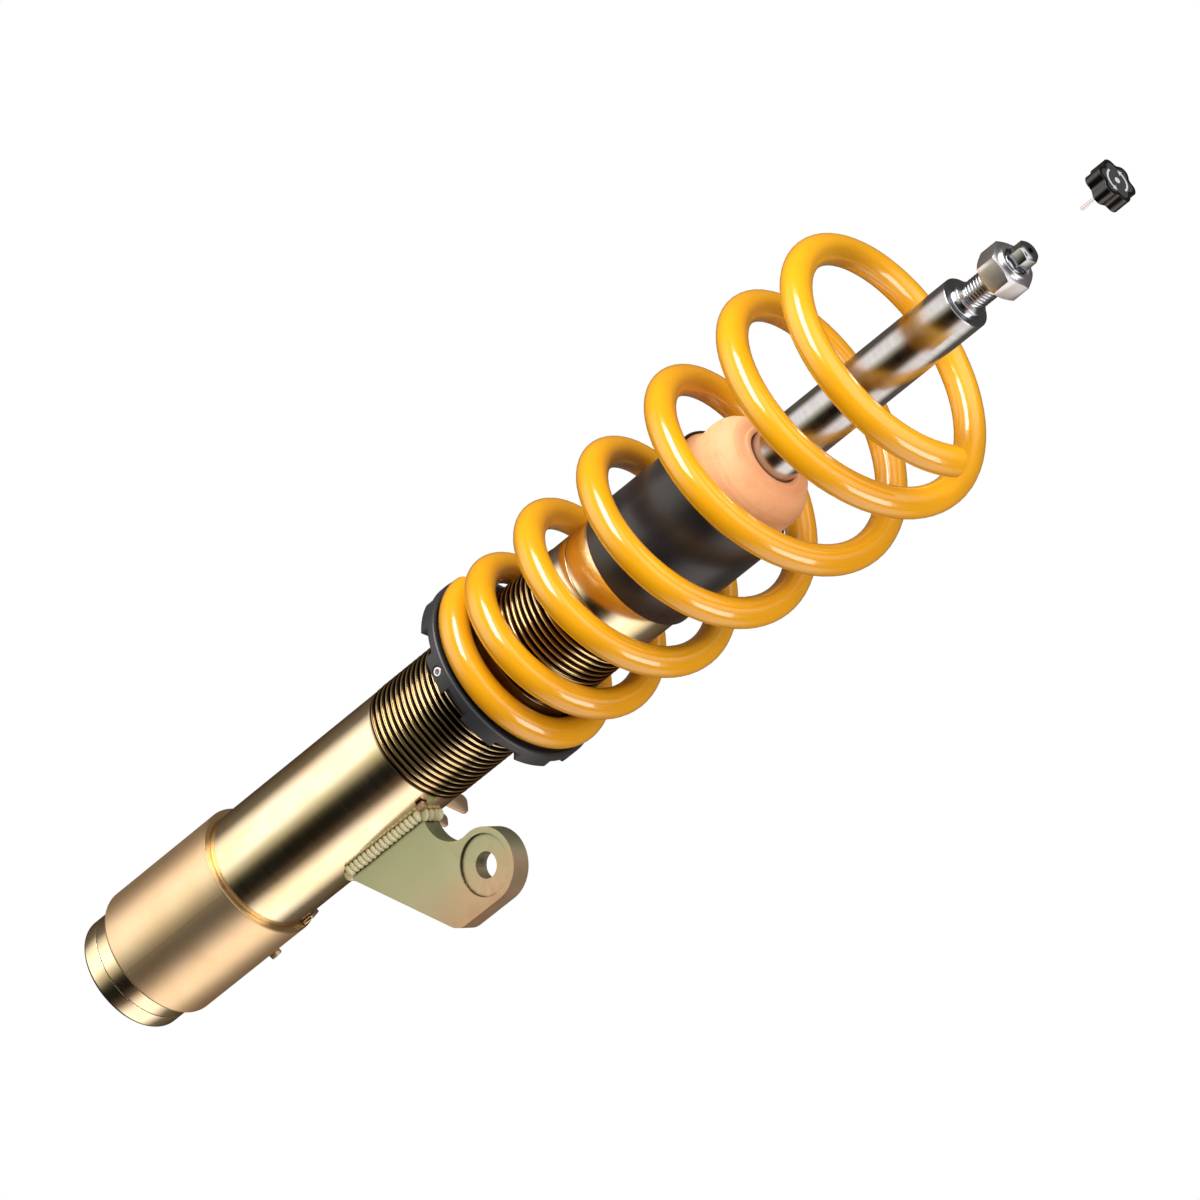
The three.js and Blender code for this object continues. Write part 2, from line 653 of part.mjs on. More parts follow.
class CoilPath extends THREE.Curve {
  constructor(from, to) {
    super();
    this.from = from;
    this.to = to;
    this.arcLengthDivisions = 2000;
  }

  getPoint(t, target = new THREE.Vector3()) {
    const turn = this.from + (this.to - this.from) * t;
    const angle = (COIL_START_ANGLE + 360 * turn) * RAD;
    const radius = through(radiusKnots, turn);
    return target.set(radius * Math.cos(angle), radius * Math.sin(angle), through(heightKnots, turn));
  }
}

function wire(from, to) {
  const section = new THREE.Shape();
  for (let i = 0; i < WIRE_SIDES; i += 1) {
    const angle = (2 * Math.PI * i) / WIRE_SIDES;
    const [x, y] = [WIRE_R * Math.cos(angle), WIRE_R * Math.sin(angle)];
    if (i === 0) section.moveTo(x, y);
    else section.lineTo(x, y);
  }
  section.closePath();
  const steps = Math.ceil((to - from) * STEPS_PER_TURN);
  return solidOf(new THREE.ExtrudeGeometry(section, { steps, extrudePath: new CoilPath(from, to) }));
}

function addSpring() {
  const cutTurns = WIRE_CUT_GAP / (2 * Math.PI * coilHighR);
  addPart('coil_spring', wire(0, END_COIL_FROM - cutTurns), 'amberCoat');
  addPart('spring_end_coil', wire(END_COIL_FROM, coilTurns), 'amberCoat');
}

// ---------------------------------------------------------------- boot and bump stop

function dustBoot() {
  const inner = bootR - BOOT_WALL;
  return revolve([
    [inner, BOOT_BOTTOM],
    [bootR - BOOT_EDGE, BOOT_BOTTOM],
    [bootR, BOOT_BOTTOM + BOOT_EDGE],
    [bootR, bootTop - BOOT_EDGE],
    [bootR - BOOT_EDGE, bootTop],
    [inner, bootTop],
  ]);
}

function bumpStop() {
  const foamR = bootR - BOOT_WALL - REST_GAP;
  const bore = rodBoreClear;
  return revolve([
    [bore, CAP_TOP + REST_GAP],
    [foamR, CAP_TOP + REST_GAP],
    [foamR, bootTop],
    [bootR - FOAM_WAIST.inset, bootTop + FOAM_WAIST.rise],
    [foamBulgeR, bootTop + FOAM_BULGE.rise],
    [foamBulgeR, bootTop + FOAM_BULGE.top],
    [bootR - FOAM_SLOPE.inset, foamTop - FOAM_SLOPE.drop],
    [bootR - FOAM_SHOULDER.inset, foamTop - FOAM_SHOULDER.drop],
    [foamLipR, foamTop - FOAM_LIP_EDGE],
    [foamLipR - FOAM_LIP_EDGE, foamTop],
    [bore, foamTop],
  ]);
}

function addBootAndStop() {
  addPart('dust_boot', dustBoot(), 'bootPlastic');
  addPart('bump_stop', bumpStop(), 'foam');
}

// ---------------------------------------------------------------- piston rod and nuts

function pistonRod() {
  const threadBase = ROD_SHOULDER + NECK_HEIGHT;
  const hexBase = nutBottom + NUT_HEIGHT + NUT_COLLAR_HEIGHT + REST_GAP;
  const hexTop = rodTip - TIP_EDGE;
  const tipR = TIP_AF / 2;
  const shaft = revolve([
    [0, STUD_BOTTOM],
    [PISTON_STUD_R, STUD_BOTTOM],
    [PISTON_STUD_R, STUD_TOP],
    [ROD_R, STUD_TOP],
    [ROD_R, ROD_SHOULDER - ROD_EDGE],
    [ROD_R - ROD_EDGE, ROD_SHOULDER],
    [NECK_R, ROD_SHOULDER],
    [NECK_R, threadBase - NECK_EDGE],
    [TOP_THREAD_R, threadBase],
    [TOP_THREAD_R, hexBase],
    [tipR, hexBase + TIP_STEP],
    [tipR, hexTop],
    [tipR - TIP_EDGE, rodTip],
    [0, rodTip],
  ], SEG_MID);
  const hex = hexBar(TIP_AF, hexBase, hexTop, NUT_ANGLE);
  const mouthFrom = rodTip - ROD_MOUTH_DEPTH;
  return shaft
    .add(hex)
    .subtract(bar(ROD_BORE_R, NEEDLE_BOTTOM - 1, mouthFrom))
    .subtract(bar(ROD_MOUTH_R, mouthFrom - 1, rodTip + 1));
}

// Caps a hexagon with a cone so that its corners are chamfered at both ends.
function chamfered(hex, acrossFlats, bottom, top) {
  const corner = acrossFlats / Math.sqrt(3);
  const flat = acrossFlats / 2;
  const drop = (corner - flat) * NUT_CHAMFER;
  return hex.intersect(revolve([
    [0, bottom],
    [flat, bottom],
    [corner + CORNER_CLEAR, bottom + drop],
    [corner + CORNER_CLEAR, top - drop],
    [flat, top],
    [0, top],
  ], SEG_BIG));
}

function topNut() {
  const top = nutBottom + NUT_HEIGHT;
  const hex = hexBar(NUT_AF, nutBottom, top, NUT_ANGLE);
  return chamfered(hex, NUT_AF, nutBottom, top)
    .add(bar(NUT_COLLAR_R, top - 1, top + NUT_COLLAR_HEIGHT, SEG_MID))
    .subtract(bar(TOP_THREAD_R + REST_GAP, nutBottom - 1, top + NUT_COLLAR_HEIGHT + 1, SEG_MID));
}

// ---------------------------------------------------------------- piston group

const pistonStack = [
  ['backing_washer', BACKING_HEIGHT],
  ['compression_shims', SHIM_STACK],
  ['piston', PISTON_HEIGHT],
  ['rebound_shims', SHIM_STACK],
];

function piston(bottom, top) {
  const grooveHalf = (BAND_HEIGHT + 2 * REST_GAP) / 2;
  const middle = (bottom + top) / 2;
  const bore = PISTON_STUD_R + REST_GAP;
  let body = revolve([
    [bore, bottom],
    [PISTON_R, bottom],
    [PISTON_R, middle - grooveHalf],
    [BAND_GROOVE_R, middle - grooveHalf],
    [BAND_GROOVE_R, middle + grooveHalf],
    [PISTON_R, middle + grooveHalf],
    [PISTON_R, top],
    [bore, top],
  ], SEG_MID);
  for (let i = 0; i < PISTON_PORTS; i += 1) {
    const port = bar(PORT_R, bottom - 1, top + 1, 8).translate(PORT_CIRCLE_R, 0, 0);
    body = body.subtract(turned(port, (360 / PISTON_PORTS) * i));
  }
  return body;
}

function addPistonGroup() {
  const bore = PISTON_STUD_R + REST_GAP;
  let top = STUD_TOP - REST_GAP;
  for (const [name, height] of pistonStack) {
    const bottom = top - height;
    if (name === 'piston') {
      addPart(name, piston(bottom, top), 'steel');
      const middle = (bottom + top) / 2;
      const band = ring(BAND_GROOVE_R + REST_GAP, INNER_R - RUN_GAP, middle - BAND_HEIGHT / 2,
        middle + BAND_HEIGHT / 2, SEG_BIG);
      addPart('piston_band', band, 'bronze');
    } else {
      const radius = name === 'backing_washer' ? BACKING_R : SHIM_R;
      addPart(name, ring(bore, radius, bottom, top, SEG_MID), 'darkSteel');
    }
    top = bottom - REST_GAP;
  }
  const nut = hexBar(PISTON_NUT_AF, top - PISTON_NUT_HEIGHT, top)
    .subtract(bar(bore, top - PISTON_NUT_HEIGHT - 1, top + 1, SEG_MID));
  addPart('piston_nut', nut, 'steel');
  const stopRing = ring(ROD_R + REST_GAP, STOP_R, stopBottom, stopTop - REST_GAP, SEG_MID);
  addPart('rebound_stop', stopRing, 'rubber');
}

// ---------------------------------------------------------------- pressure tube and base valve

const valveBase = CUP_HEIGHT + CUP_PLUG + REST_GAP;
const valveShelf = valveBase + VALVE_DISC_HEIGHT;
const valveTop = valveShelf + VALVE_BOSS_HEIGHT;

function baseValve() {
  let body = revolve([
    [VALVE_SCREW_R + REST_GAP, valveBase],
    [tubeBoreR - REST_GAP, valveBase],
    [tubeBoreR - REST_GAP, valveShelf],
    [INNER_R - REST_GAP, valveShelf],
    [INNER_R - REST_GAP, valveTop],
    [VALVE_SCREW_R + REST_GAP, valveTop],
  ], SEG_MID);
  for (let i = 0; i < PISTON_PORTS; i += 1) {
    const port = bar(PORT_R, valveBase - 1, valveTop + 1, 8).translate(PORT_CIRCLE_R, 0, 0);
    body = body.subtract(turned(port, (360 / PISTON_PORTS) * i));
  }
  return body;
}

function addPressureTube() {
  addPart('inner_tube', ring(INNER_R, innerR, valveShelf + REST_GAP, capSkirtBottom - REST_GAP), 'steel');
  addPart('base_valve', baseValve(), 'alloy');
  const shims = ring(VALVE_SCREW_R + REST_GAP, SHIM_R, valveTop + REST_GAP, valveTop + REST_GAP + SHIM_STACK,
    SEG_MID);
  addPart('base_valve_shims', shims, 'darkSteel');
  const headBottom = valveTop + 2 * REST_GAP + SHIM_STACK;
  const screw = bar(VALVE_SCREW_R, valveBase + REST_GAP, headBottom + 1)
    .add(bar(VALVE_SCREW_R * 2, headBottom, headBottom + VALVE_HEAD_HEIGHT));
  addPart('base_valve_screw', screw, 'steel');
}

// ---------------------------------------------------------------- top closure and rod guide

const roofBottom = CAP_TOP - CAP_ROOF;
const skirtR = tubeBoreR - REST_GAP;
const skirtBoreR = innerR + CAP_BORE_CLEAR;

function glandCap() {
  return revolve([
    [skirtBoreR, capSkirtBottom],
    [skirtR, capSkirtBottom],
    [skirtR, capBottom],
    [TUBE_R, capBottom],
    [TUBE_R, CAP_TOP - CAP_EDGE],
    [TUBE_R - CAP_EDGE, CAP_TOP],
    [rodBoreClear, CAP_TOP],
    [rodBoreClear, roofBottom],
    [WIPER_R + REST_GAP, roofBottom],
    [WIPER_R + REST_GAP, roofBottom - WIPER_HEIGHT - REST_GAP],
    [skirtBoreR, roofBottom - WIPER_HEIGHT - REST_GAP],
  ]);
}

function addTopClosure() {
  const cavityTop = roofBottom - WIPER_HEIGHT - REST_GAP;
  const insideR = skirtBoreR - REST_GAP;
  const bushOuterR = rodBoreClear + BUSH_WALL;
  const registerR = INNER_R - REST_GAP;
  const guideTop = capSkirtBottom + GUIDE_HEIGHT;
  const guideBottom = capSkirtBottom - GUIDE_REGISTER + REST_GAP;
  addPart('gland_cap', glandCap(), 'goldPlate');
  addPart('wiper_seal', ring(rodBoreClear, WIPER_R, roofBottom - WIPER_HEIGHT, roofBottom - REST_GAP), 'rubber');
  const sealTop = Math.min(guideTop + REST_GAP + SEAL_HEIGHT, cavityTop - REST_GAP);
  addPart('rod_seal', ring(rodBoreClear, insideR, guideTop + REST_GAP, sealTop), 'rubber');
  const guide = revolve([
    [bushOuterR + REST_GAP, guideBottom],
    [registerR, guideBottom],
    [registerR, capSkirtBottom],
    [insideR, capSkirtBottom],
    [insideR, guideTop],
    [bushOuterR + REST_GAP, guideTop],
  ]);
  addPart('rod_guide', guide, 'alloy');
  addPart('guide_bush', ring(rodBoreClear, bushOuterR, guideBottom, guideTop), 'bronze');
}

// ---------------------------------------------------------------- damping adjuster

function adjusterNeedle() {
  const socket = bar(NEEDLE_SOCKET_R, needleTop - NEEDLE_SOCKET_DEPTH, needleTop + 1, 12);
  return bar(NEEDLE_R, NEEDLE_BOTTOM, needleTop).subtract(socket);
}

// A lobed disc: its rim swings in and out six times round.
function knobOutline(inset) {
  const shape = new THREE.Shape();
  const steps = KNOB_LOBES * 8;
  for (let i = 0; i < steps; i += 1) {
    const angle = (2 * Math.PI * i) / steps;
    const radius = KNOB_R - inset - KNOB_FLUTE * (0.5 - 0.5 * Math.cos(KNOB_LOBES * angle));
    const [x, y] = [radius * Math.cos(angle), radius * Math.sin(angle)];
    if (i === 0) shape.moveTo(x, y);
    else shape.lineTo(x, y);
  }
  shape.closePath();
  return shape;
}

function adjusterKnob() {
  const top = knobBottom + KNOB_HEIGHT;
  const body = extrude(knobOutline(0), knobBottom, top - KNOB_EDGE);
  const crown = extrude(knobOutline(KNOB_EDGE), top - KNOB_EDGE - 0.2, top);
  const socket = bar(KNOB_SOCKET_R, knobBottom - 1, knobBottom + KNOB_SOCKET_DEPTH, 12);
  return body.add(crown).subtract(socket);
}

function addAdjuster() {
  addPart('adjuster_needle', adjusterNeedle(), 'steel');
  addPart('knob_stem', hexBar(STEM_AF, rodTip + STEM_LIFT, knobBottom + KNOB_SOCKET_DEPTH - REST_GAP), 'zinc');
  addPart('adjuster_knob', adjusterKnob(), 'knobPlastic');
}

// ---------------------------------------------------------------- build

addKnuckleEnd();
addLinkBracket();
addTubeFittings();
addCollar();
addSpring();
addBootAndStop();
addPart('piston_rod', pistonRod(), 'chrome');
addPart('top_nut', topNut(), 'zinc');
addPistonGroup();
addPressureTube();
addTopClosure();
addAdjuster();

export default coilover;
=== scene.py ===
import json
import math

import bmesh
import bpy
import numpy as np
from mathutils import Matrix, Vector


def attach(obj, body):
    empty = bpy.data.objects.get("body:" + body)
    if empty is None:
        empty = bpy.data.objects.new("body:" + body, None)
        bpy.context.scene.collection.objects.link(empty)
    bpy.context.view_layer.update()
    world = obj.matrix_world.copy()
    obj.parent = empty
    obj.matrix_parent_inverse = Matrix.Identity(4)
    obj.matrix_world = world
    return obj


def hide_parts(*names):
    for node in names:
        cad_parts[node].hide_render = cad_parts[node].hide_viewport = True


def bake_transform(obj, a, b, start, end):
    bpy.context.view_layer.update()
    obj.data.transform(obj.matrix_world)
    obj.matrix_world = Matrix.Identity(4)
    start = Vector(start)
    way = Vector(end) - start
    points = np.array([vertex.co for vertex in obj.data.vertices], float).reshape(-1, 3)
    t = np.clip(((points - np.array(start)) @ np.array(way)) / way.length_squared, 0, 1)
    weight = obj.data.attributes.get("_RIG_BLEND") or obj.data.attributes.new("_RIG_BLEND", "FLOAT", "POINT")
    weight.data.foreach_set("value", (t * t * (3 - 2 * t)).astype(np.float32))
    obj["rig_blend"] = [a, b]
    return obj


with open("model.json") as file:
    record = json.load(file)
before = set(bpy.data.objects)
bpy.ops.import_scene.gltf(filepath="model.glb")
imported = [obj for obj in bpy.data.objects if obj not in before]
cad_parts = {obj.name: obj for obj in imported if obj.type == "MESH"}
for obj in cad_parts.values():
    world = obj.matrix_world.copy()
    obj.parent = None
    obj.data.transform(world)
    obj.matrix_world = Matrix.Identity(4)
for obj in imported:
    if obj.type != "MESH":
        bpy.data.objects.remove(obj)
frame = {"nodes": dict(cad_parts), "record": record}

bl_info = {
    "name": "Coilover strut",
    "version": (1, 0, 0),
    "blender": (4, 5, 0),
    "location": "3D View > Sidebar > Coilover",
    "description": "Builds the finished surfaces of a threaded coilover strut round its CAD frame",
    "category": "Object",
}

MM = 0.001
SEED = 11
# Places that a surface and a material share, in millimetres.
THREAD_BOTTOM, THREAD_TOP = 180, 286
THREAD_ROOT, THREAD_CREST = 25.25, 26.3
SLEEVE_TOP = 82
FOAM_LIP_BOTTOM, FOAM_LIP_TOP = 387, 390
SLOTS = {o["node"]: o["material_slot"] for o in frame["record"]["subparts"]}


def colour(code):
    """Linear RGBA from an sRGB hex code."""
    parts = [int(code[i:i + 2], 16) / 255 for i in (1, 3, 5)]
    linear = [c / 12.92 if c <= 0.04045 else ((c + 0.055) / 1.055) ** 2.4 for c in parts]
    return (*linear, 1.0)


# ---------------------------------------------------------------- settings

def colour_setting(name, description, code):
    """A colour that the user can change, stored linear, from an sRGB hex code."""
    return bpy.props.FloatVectorProperty(
        name=name, description=description, subtype="COLOR", size=4, min=0, max=1, default=colour(code))


class TubeSettings(bpy.types.PropertyGroup):
    """Damper tube, knuckle end and top cap."""

    radius: bpy.props.FloatProperty(
        name="Tube radius", description="Outside radius of the drawn tube",
        default=26 * MM, unit="LENGTH")
    thread_pitch: bpy.props.FloatProperty(
        name="Thread pitch", description="Rise of the height thread in one turn",
        default=3 * MM, unit="LENGTH")
    thread_depth: bpy.props.FloatProperty(
        name="Thread depth", description="Crest to root of the rolled thread",
        default=1.1 * MM, unit="LENGTH")
    thread_sides: bpy.props.IntProperty(
        name="Thread facets", description="Facets round the threaded length", default=112)
    sleeve_radius: bpy.props.FloatProperty(
        name="Sleeve radius", description="Outside radius of the clamp sleeve",
        default=28.9 * MM, unit="LENGTH")
    tube_tint: colour_setting("Tube plating", "Tint of the bright plating on the tube", "#fbf0d2")
    sleeve_tint: colour_setting("Sleeve plating", "Tint of the satin plating on the sleeve", "#fce5c1")


class BracketSettings(bpy.types.PropertyGroup):
    """Drop-link bracket, its weld and the small tube fittings."""

    bevel: bpy.props.FloatProperty(
        name="Edge round", description="Broken edge of the cut plate",
        default=0.7 * MM, unit="LENGTH")
    ripple: bpy.props.FloatProperty(
        name="Weld ripple", description="Distance between two ripples of the weld",
        default=2.5 * MM, unit="LENGTH")
    bead: bpy.props.FloatProperty(
        name="Bead radius", description="Radius of the weld bead's section",
        default=2.9 * MM, unit="LENGTH")
    weld_tint: colour_setting("Weld crests", "Tint of the plated weld's crests", "#f3e9bd")


class SpringSettings(bpy.types.PropertyGroup):
    """Coil spring, hub and height-adjuster collar."""

    wire_radius: bpy.props.FloatProperty(
        name="Wire radius", description="Radius of the coated spring wire",
        default=6.2 * MM, unit="LENGTH")
    steps: bpy.props.IntProperty(
        name="Steps per turn", description="Rings of the wire in one turn", default=72)
    sides: bpy.props.IntProperty(
        name="Wire facets", description="Facets round the wire", default=32)
    collar_bevel: bpy.props.FloatProperty(
        name="Collar edge round", description="Moulded edge of the collar",
        default=0.45 * MM, unit="LENGTH")
    coat: colour_setting("Powder coat", "Colour of the spring's powder coat", "#f4ab12")
    collar_colour: colour_setting("Collar", "Colour of the collar's moulding", "#34353a")


class RodSettings(bpy.types.PropertyGroup):
    """Piston rod, nut, adjuster knob, boot and bump stop."""

    pitch: bpy.props.FloatProperty(
        name="Rod thread pitch", description="Pitch of the M12 thread",
        default=1.5 * MM, unit="LENGTH")
    lobes: bpy.props.IntProperty(
        name="Knob lobes", description="Grip lobes round the adjuster knob", default=6)
    foam_cell: bpy.props.FloatProperty(
        name="Foam cell", description="Size of a pore in the bump stop's skin",
        default=0.5 * MM, unit="LENGTH")
    foam_colour: colour_setting("Bump stop", "Colour of the bump stop's skin", "#f3ba88")
    boot_colour: colour_setting("Boot", "Colour of the dust boot", "#2c2d31")
    knob_colour: colour_setting("Knob", "Colour of the adjuster knob", "#0b0b0c")


class StageSettings(bpy.types.PropertyGroup):
    """Camera, light and floor."""

    focal: bpy.props.FloatProperty(
        name="Lens", description="Focal length of the camera in millimetres", default=300)
    distance: bpy.props.FloatProperty(
        name="Camera distance", description="Camera to the point that it looks at",
        default=3.87, unit="LENGTH")
    floor_drop: bpy.props.FloatProperty(
        name="Floor drop", description="Floor below the strut's bottom face",
        default=0.35, unit="LENGTH")


# ---------------------------------------------------------------- shader helpers

def add_node(tree, kind, values=None, **settings):
    """Adds a node, sets its properties, then its inputs: a socket is linked, a constant is stored."""
    node = tree.nodes.new(kind)
    for key, value in settings.items():
        setattr(node, key, value)
    for key, value in (values or {}).items():
        if isinstance(value, bpy.types.NodeSocket):
            tree.links.new(value, node.inputs[key])
        else:
            node.inputs[key].default_value = value
    return node


def blank_material(name):
    material = bpy.data.materials.new(name)
    material.use_nodes = True
    tree = material.node_tree
    tree.nodes.clear()
    return material, tree


def object_coords(tree, scale=(1, 1, 1)):
    """Object coordinates in metres, stretched by scale."""
    where = add_node(tree, "ShaderNodeTexCoord").outputs["Object"]
    return add_node(tree, "ShaderNodeMapping", {"Vector": where, "Scale": scale}).outputs[0]


def noise(tree, size, stretch=(1, 1, 1), detail=3.0, rough=0.5):
    """Noise whose features are size metres across, as a 0 to 1 value."""
    coords = object_coords(tree, stretch)
    return add_node(tree, "ShaderNodeTexNoise", {
        "Vector": coords, "Scale": 1 / size, "Detail": detail, "Roughness": rough}).outputs[0]


def ramp(tree, value, stops, interpolation="LINEAR"):
    """Colour ramp from (position, hex) stops."""
    node = add_node(tree, "ShaderNodeValToRGB", {0: value})
    node.color_ramp.interpolation = interpolation
    elements = node.color_ramp.elements
    while len(elements) < len(stops):
        elements.new(0.5)
    for element, (place, code) in zip(elements, stops):
        element.position = place
        element.color = colour(code)
    return node.outputs[0]


def remap(tree, value, low, high, start=0.0, end=1.0):
    return add_node(tree, "ShaderNodeMapRange", {
        0: value, 1: start, 2: end, 3: low, 4: high}).outputs[0]


def mix_colour(tree, factor, a, b, blend="MIX"):
    node = add_node(tree, "ShaderNodeMix", data_type="RGBA", blend_type=blend)
    for socket, value in ((0, factor), (6, a), (7, b)):
        if isinstance(value, bpy.types.NodeSocket):
            tree.links.new(value, node.inputs[socket])
        else:
            node.inputs[socket].default_value = value
    return node.outputs[2]


def bumped(tree, height, depth):
    """Normal bent by a height field whose full swing is depth metres."""
    return add_node(tree, "ShaderNodeBump", {
        "Height": height, "Distance": depth, "Strength": 1.0}).outputs[0]


def finish_material(tree, values):
    shader = add_node(tree, "ShaderNodeBsdfPrincipled", values)
    add_node(tree, "ShaderNodeOutputMaterial", {"Surface": shader.outputs[0]})


def from_axis(tree):
    """Distance of the surface from the strut's axis, in metres."""
    flat = object_coords(tree, (1, 1, 0))
    return add_node(tree, "ShaderNodeVectorMath", {0: flat}, operation="LENGTH").outputs["Value"]


# ---------------------------------------------------------------- materials

def setting(group, name):
    """A colour that the user set in the panel."""
    return tuple(getattr(getattr(bpy.context.scene, "coilover_" + group), name))


def zinc_gold_drawn():
    """Drawn tube, bright yellow-zinc plated: glossy, with fine lines round it and stained passes; the
    thread's valleys carry painted shade, darker the deeper they lie below the crest.
    """
    material, tree = blank_material("yellow_zinc_on_drawn_tube")
    lines = noise(tree, 0.6 * MM, (0.04, 0.04, 1), 2)
    stain = noise(tree, 26 * MM, (1, 1, 0.35), 4)
    base = ramp(tree, stain, [(0.3, "#f1e6c8"), (0.5, "#ffffff"), (0.72, "#fbecdc")])
    base = mix_colour(tree, 1.0, base, setting("tube", "tube_tint"), "MULTIPLY")
    # Painted shade: along the threaded length the colour darkens with depth below the crest, nearly black at
    # the root.
    crest = remap(tree, from_axis(tree), 0.0, 1.0, THREAD_ROOT * MM, THREAD_CREST * MM)
    painted_shade = ramp(tree, crest, [(0.2, "#080604"), (0.6, "#54442f"), (0.84, "#9c8b70"), (0.97, "#fff6e6")])
    where = add_node(tree, "ShaderNodeSeparateXYZ", {0: object_coords(tree)}).outputs[2]
    middle, half = (THREAD_TOP + THREAD_BOTTOM) / 2, (THREAD_TOP - THREAD_BOTTOM) / 2
    offset = add_node(tree, "ShaderNodeMath", {0: where, 1: middle * MM}, operation="SUBTRACT").outputs[0]
    reach = add_node(tree, "ShaderNodeMath", {0: offset}, operation="ABSOLUTE").outputs[0]
    threaded = remap(tree, reach, 1.0, 0.0, (half - 1) * MM, half * MM)
    painted_shade = mix_colour(tree, threaded, colour("#ffffff"), painted_shade)
    tint = mix_colour(tree, 1.0, base, painted_shade, "MULTIPLY")
    finish_material(tree, {
        "Base Color": tint, "Metallic": 1.0, "Specular Tint": colour("#bfa995"),
        "Roughness": remap(tree, lines, 0.13, 0.24),
        "Normal": bumped(tree, lines, 0.0016 * MM)})
    return material


def zinc_gold_blasted():
    """Sleeve, fine blasted then yellow-zinc plated: satin, with painted shade darkening it to tan at its top
    rim.
    """
    material, tree = blank_material("yellow_zinc_on_blasted_sleeve")
    grain = noise(tree, 0.35 * MM, detail=2)
    stain = noise(tree, 18 * MM, detail=3)
    base = ramp(tree, stain, [(0.3, "#f7efe2"), (0.7, "#ffffff")])
    base = mix_colour(tree, 1.0, base, setting("tube", "sleeve_tint"), "MULTIPLY")
    height = add_node(tree, "ShaderNodeSeparateXYZ", {0: object_coords(tree)}).outputs[2]
    # Painted shade: the colour turns dark tan towards the top rim, damping that rim's bright reflection.
    top_rim_painted_shade = remap(tree, height, 0.0, 0.75, (SLEEVE_TOP - 0.7) * MM, (SLEEVE_TOP - 0.1) * MM)
    base = mix_colour(tree, top_rim_painted_shade, base, colour("#8e6a3e"))
    finish_material(tree, {
        "Base Color": base, "Metallic": 1.0, "Specular Tint": colour("#c49a74"),
        "Roughness": remap(tree, grain, 0.34, 0.46),
        "Normal": bumped(tree, grain, 0.006 * MM)})
    return material


def zinc_gold_plate():
    """Laser-cut plate, yellow-zinc plated: satin, green at the foot and pinker towards the eye, with painted
    shade in its corners and recesses.
    """
    material, tree = blank_material("yellow_zinc_on_cut_plate")
    grain = noise(tree, 0.5 * MM, detail=3)
    stain = noise(tree, 14 * MM, detail=3)
    where = add_node(tree, "ShaderNodeSeparateXYZ", {0: object_coords(tree)})
    along = remap(tree, where.outputs["X"], 0.0, 1.0, 34 * MM, 80 * MM)
    drift = add_node(tree, "ShaderNodeMath", {0: stain, 1: 0.5, 2: -0.25},
                     operation="MULTIPLY_ADD").outputs[0]
    place = add_node(tree, "ShaderNodeMath", {0: along, 1: drift}, operation="ADD").outputs[0]
    off_plate = add_node(tree, "ShaderNodeMath", {0: where.outputs["Y"]}, operation="ABSOLUTE").outputs[0]
    small = remap(tree, off_plate, 0.0, 0.9, 6 * MM, 9 * MM)
    place = add_node(tree, "ShaderNodeMath", {0: place, 1: small}, operation="MAXIMUM").outputs[0]
    base = ramp(tree, place, [(0.05, "#a9ab86"), (0.45, "#b4b18e"), (0.8, "#c3a887"), (1.0, "#bd9878")])
    # Painted shade: occlusion darkens the colour in corners, recesses and where parts meet.
    hollow = add_node(tree, "ShaderNodeAmbientOcclusion", {"Distance": 2.2 * MM}, samples=8).outputs["AO"]
    painted_shade = ramp(tree, hollow, [(0.45, "#3f3728"), (0.85, "#ffffff")])
    finish_material(tree, {
        "Base Color": mix_colour(tree, 1.0, base, painted_shade, "MULTIPLY"), "Metallic": 0.85,
        "Roughness": remap(tree, grain, 0.36, 0.5),
        "Normal": bumped(tree, grain, 0.008 * MM)})
    return material


def zinc_gold_weld():
    """Gas-shielded weld bead after plating: pale crests, and painted shade darkening the valleys between
    ripples.
    """
    material, tree = blank_material("yellow_zinc_on_weld_bead")
    grain = noise(tree, 0.7 * MM, detail=3)
    # Painted shade: occlusion darkens the colour in the valleys between ripples and where the bead meets the
    # plate.
    hollow = add_node(tree, "ShaderNodeAmbientOcclusion", {"Distance": 1.2 * MM}, samples=8).outputs["AO"]
    painted_shade = ramp(tree, hollow, [(0.2, "#4a3f26"), (0.42, "#b5aa80"), (0.68, "#ffffff")])
    base = mix_colour(tree, 1.0, painted_shade, setting("bracket", "weld_tint"), "MULTIPLY")
    finish_material(tree, {
        "Base Color": base, "Metallic": 0.12,
        "Roughness": remap(tree, grain, 0.4, 0.55),
        "Normal": bumped(tree, grain, 0.03 * MM)})
    return material


def plain_metal(name, low, high, roughness, size, stretch, depth):
    """A metal whose colour, gloss and surface follow one stretched noise."""
    material, tree = blank_material(name)
    marks = noise(tree, size, stretch, 3)
    finish_material(tree, {
        "Base Color": ramp(tree, marks, [(0.3, low), (0.7, high)]), "Metallic": 1.0,
        "Roughness": remap(tree, marks, *roughness),
        "Normal": bumped(tree, marks, depth)})
    return material


def bright_zinc():
    """Machined steel with bright zinc: nut, pin, screw and stem."""
    return plain_metal("bright_zinc_on_machined_steel", "#d2d0d2", "#efedf1", (0.24, 0.34),
                       0.5 * MM, (1, 1, 3), 0.002 * MM)


def hard_chrome():
    """Ground and polished hard chrome on the piston rod: grinding lines run round it."""
    return plain_metal("hard_chrome_on_ground_rod", "#b2b4b8", "#bfc1c5", (0.15, 0.2),
                       3 * MM, (0.3, 0.3, 1), 0.0001 * MM)


def turned_steel():
    """Turned and oiled steel inside the damper: tool marks run round it."""
    return plain_metal("turned_oiled_steel", "#77797e", "#9ea1a6", (0.24, 0.38),
                       0.25 * MM, (0.05, 0.05, 1), 0.004 * MM)


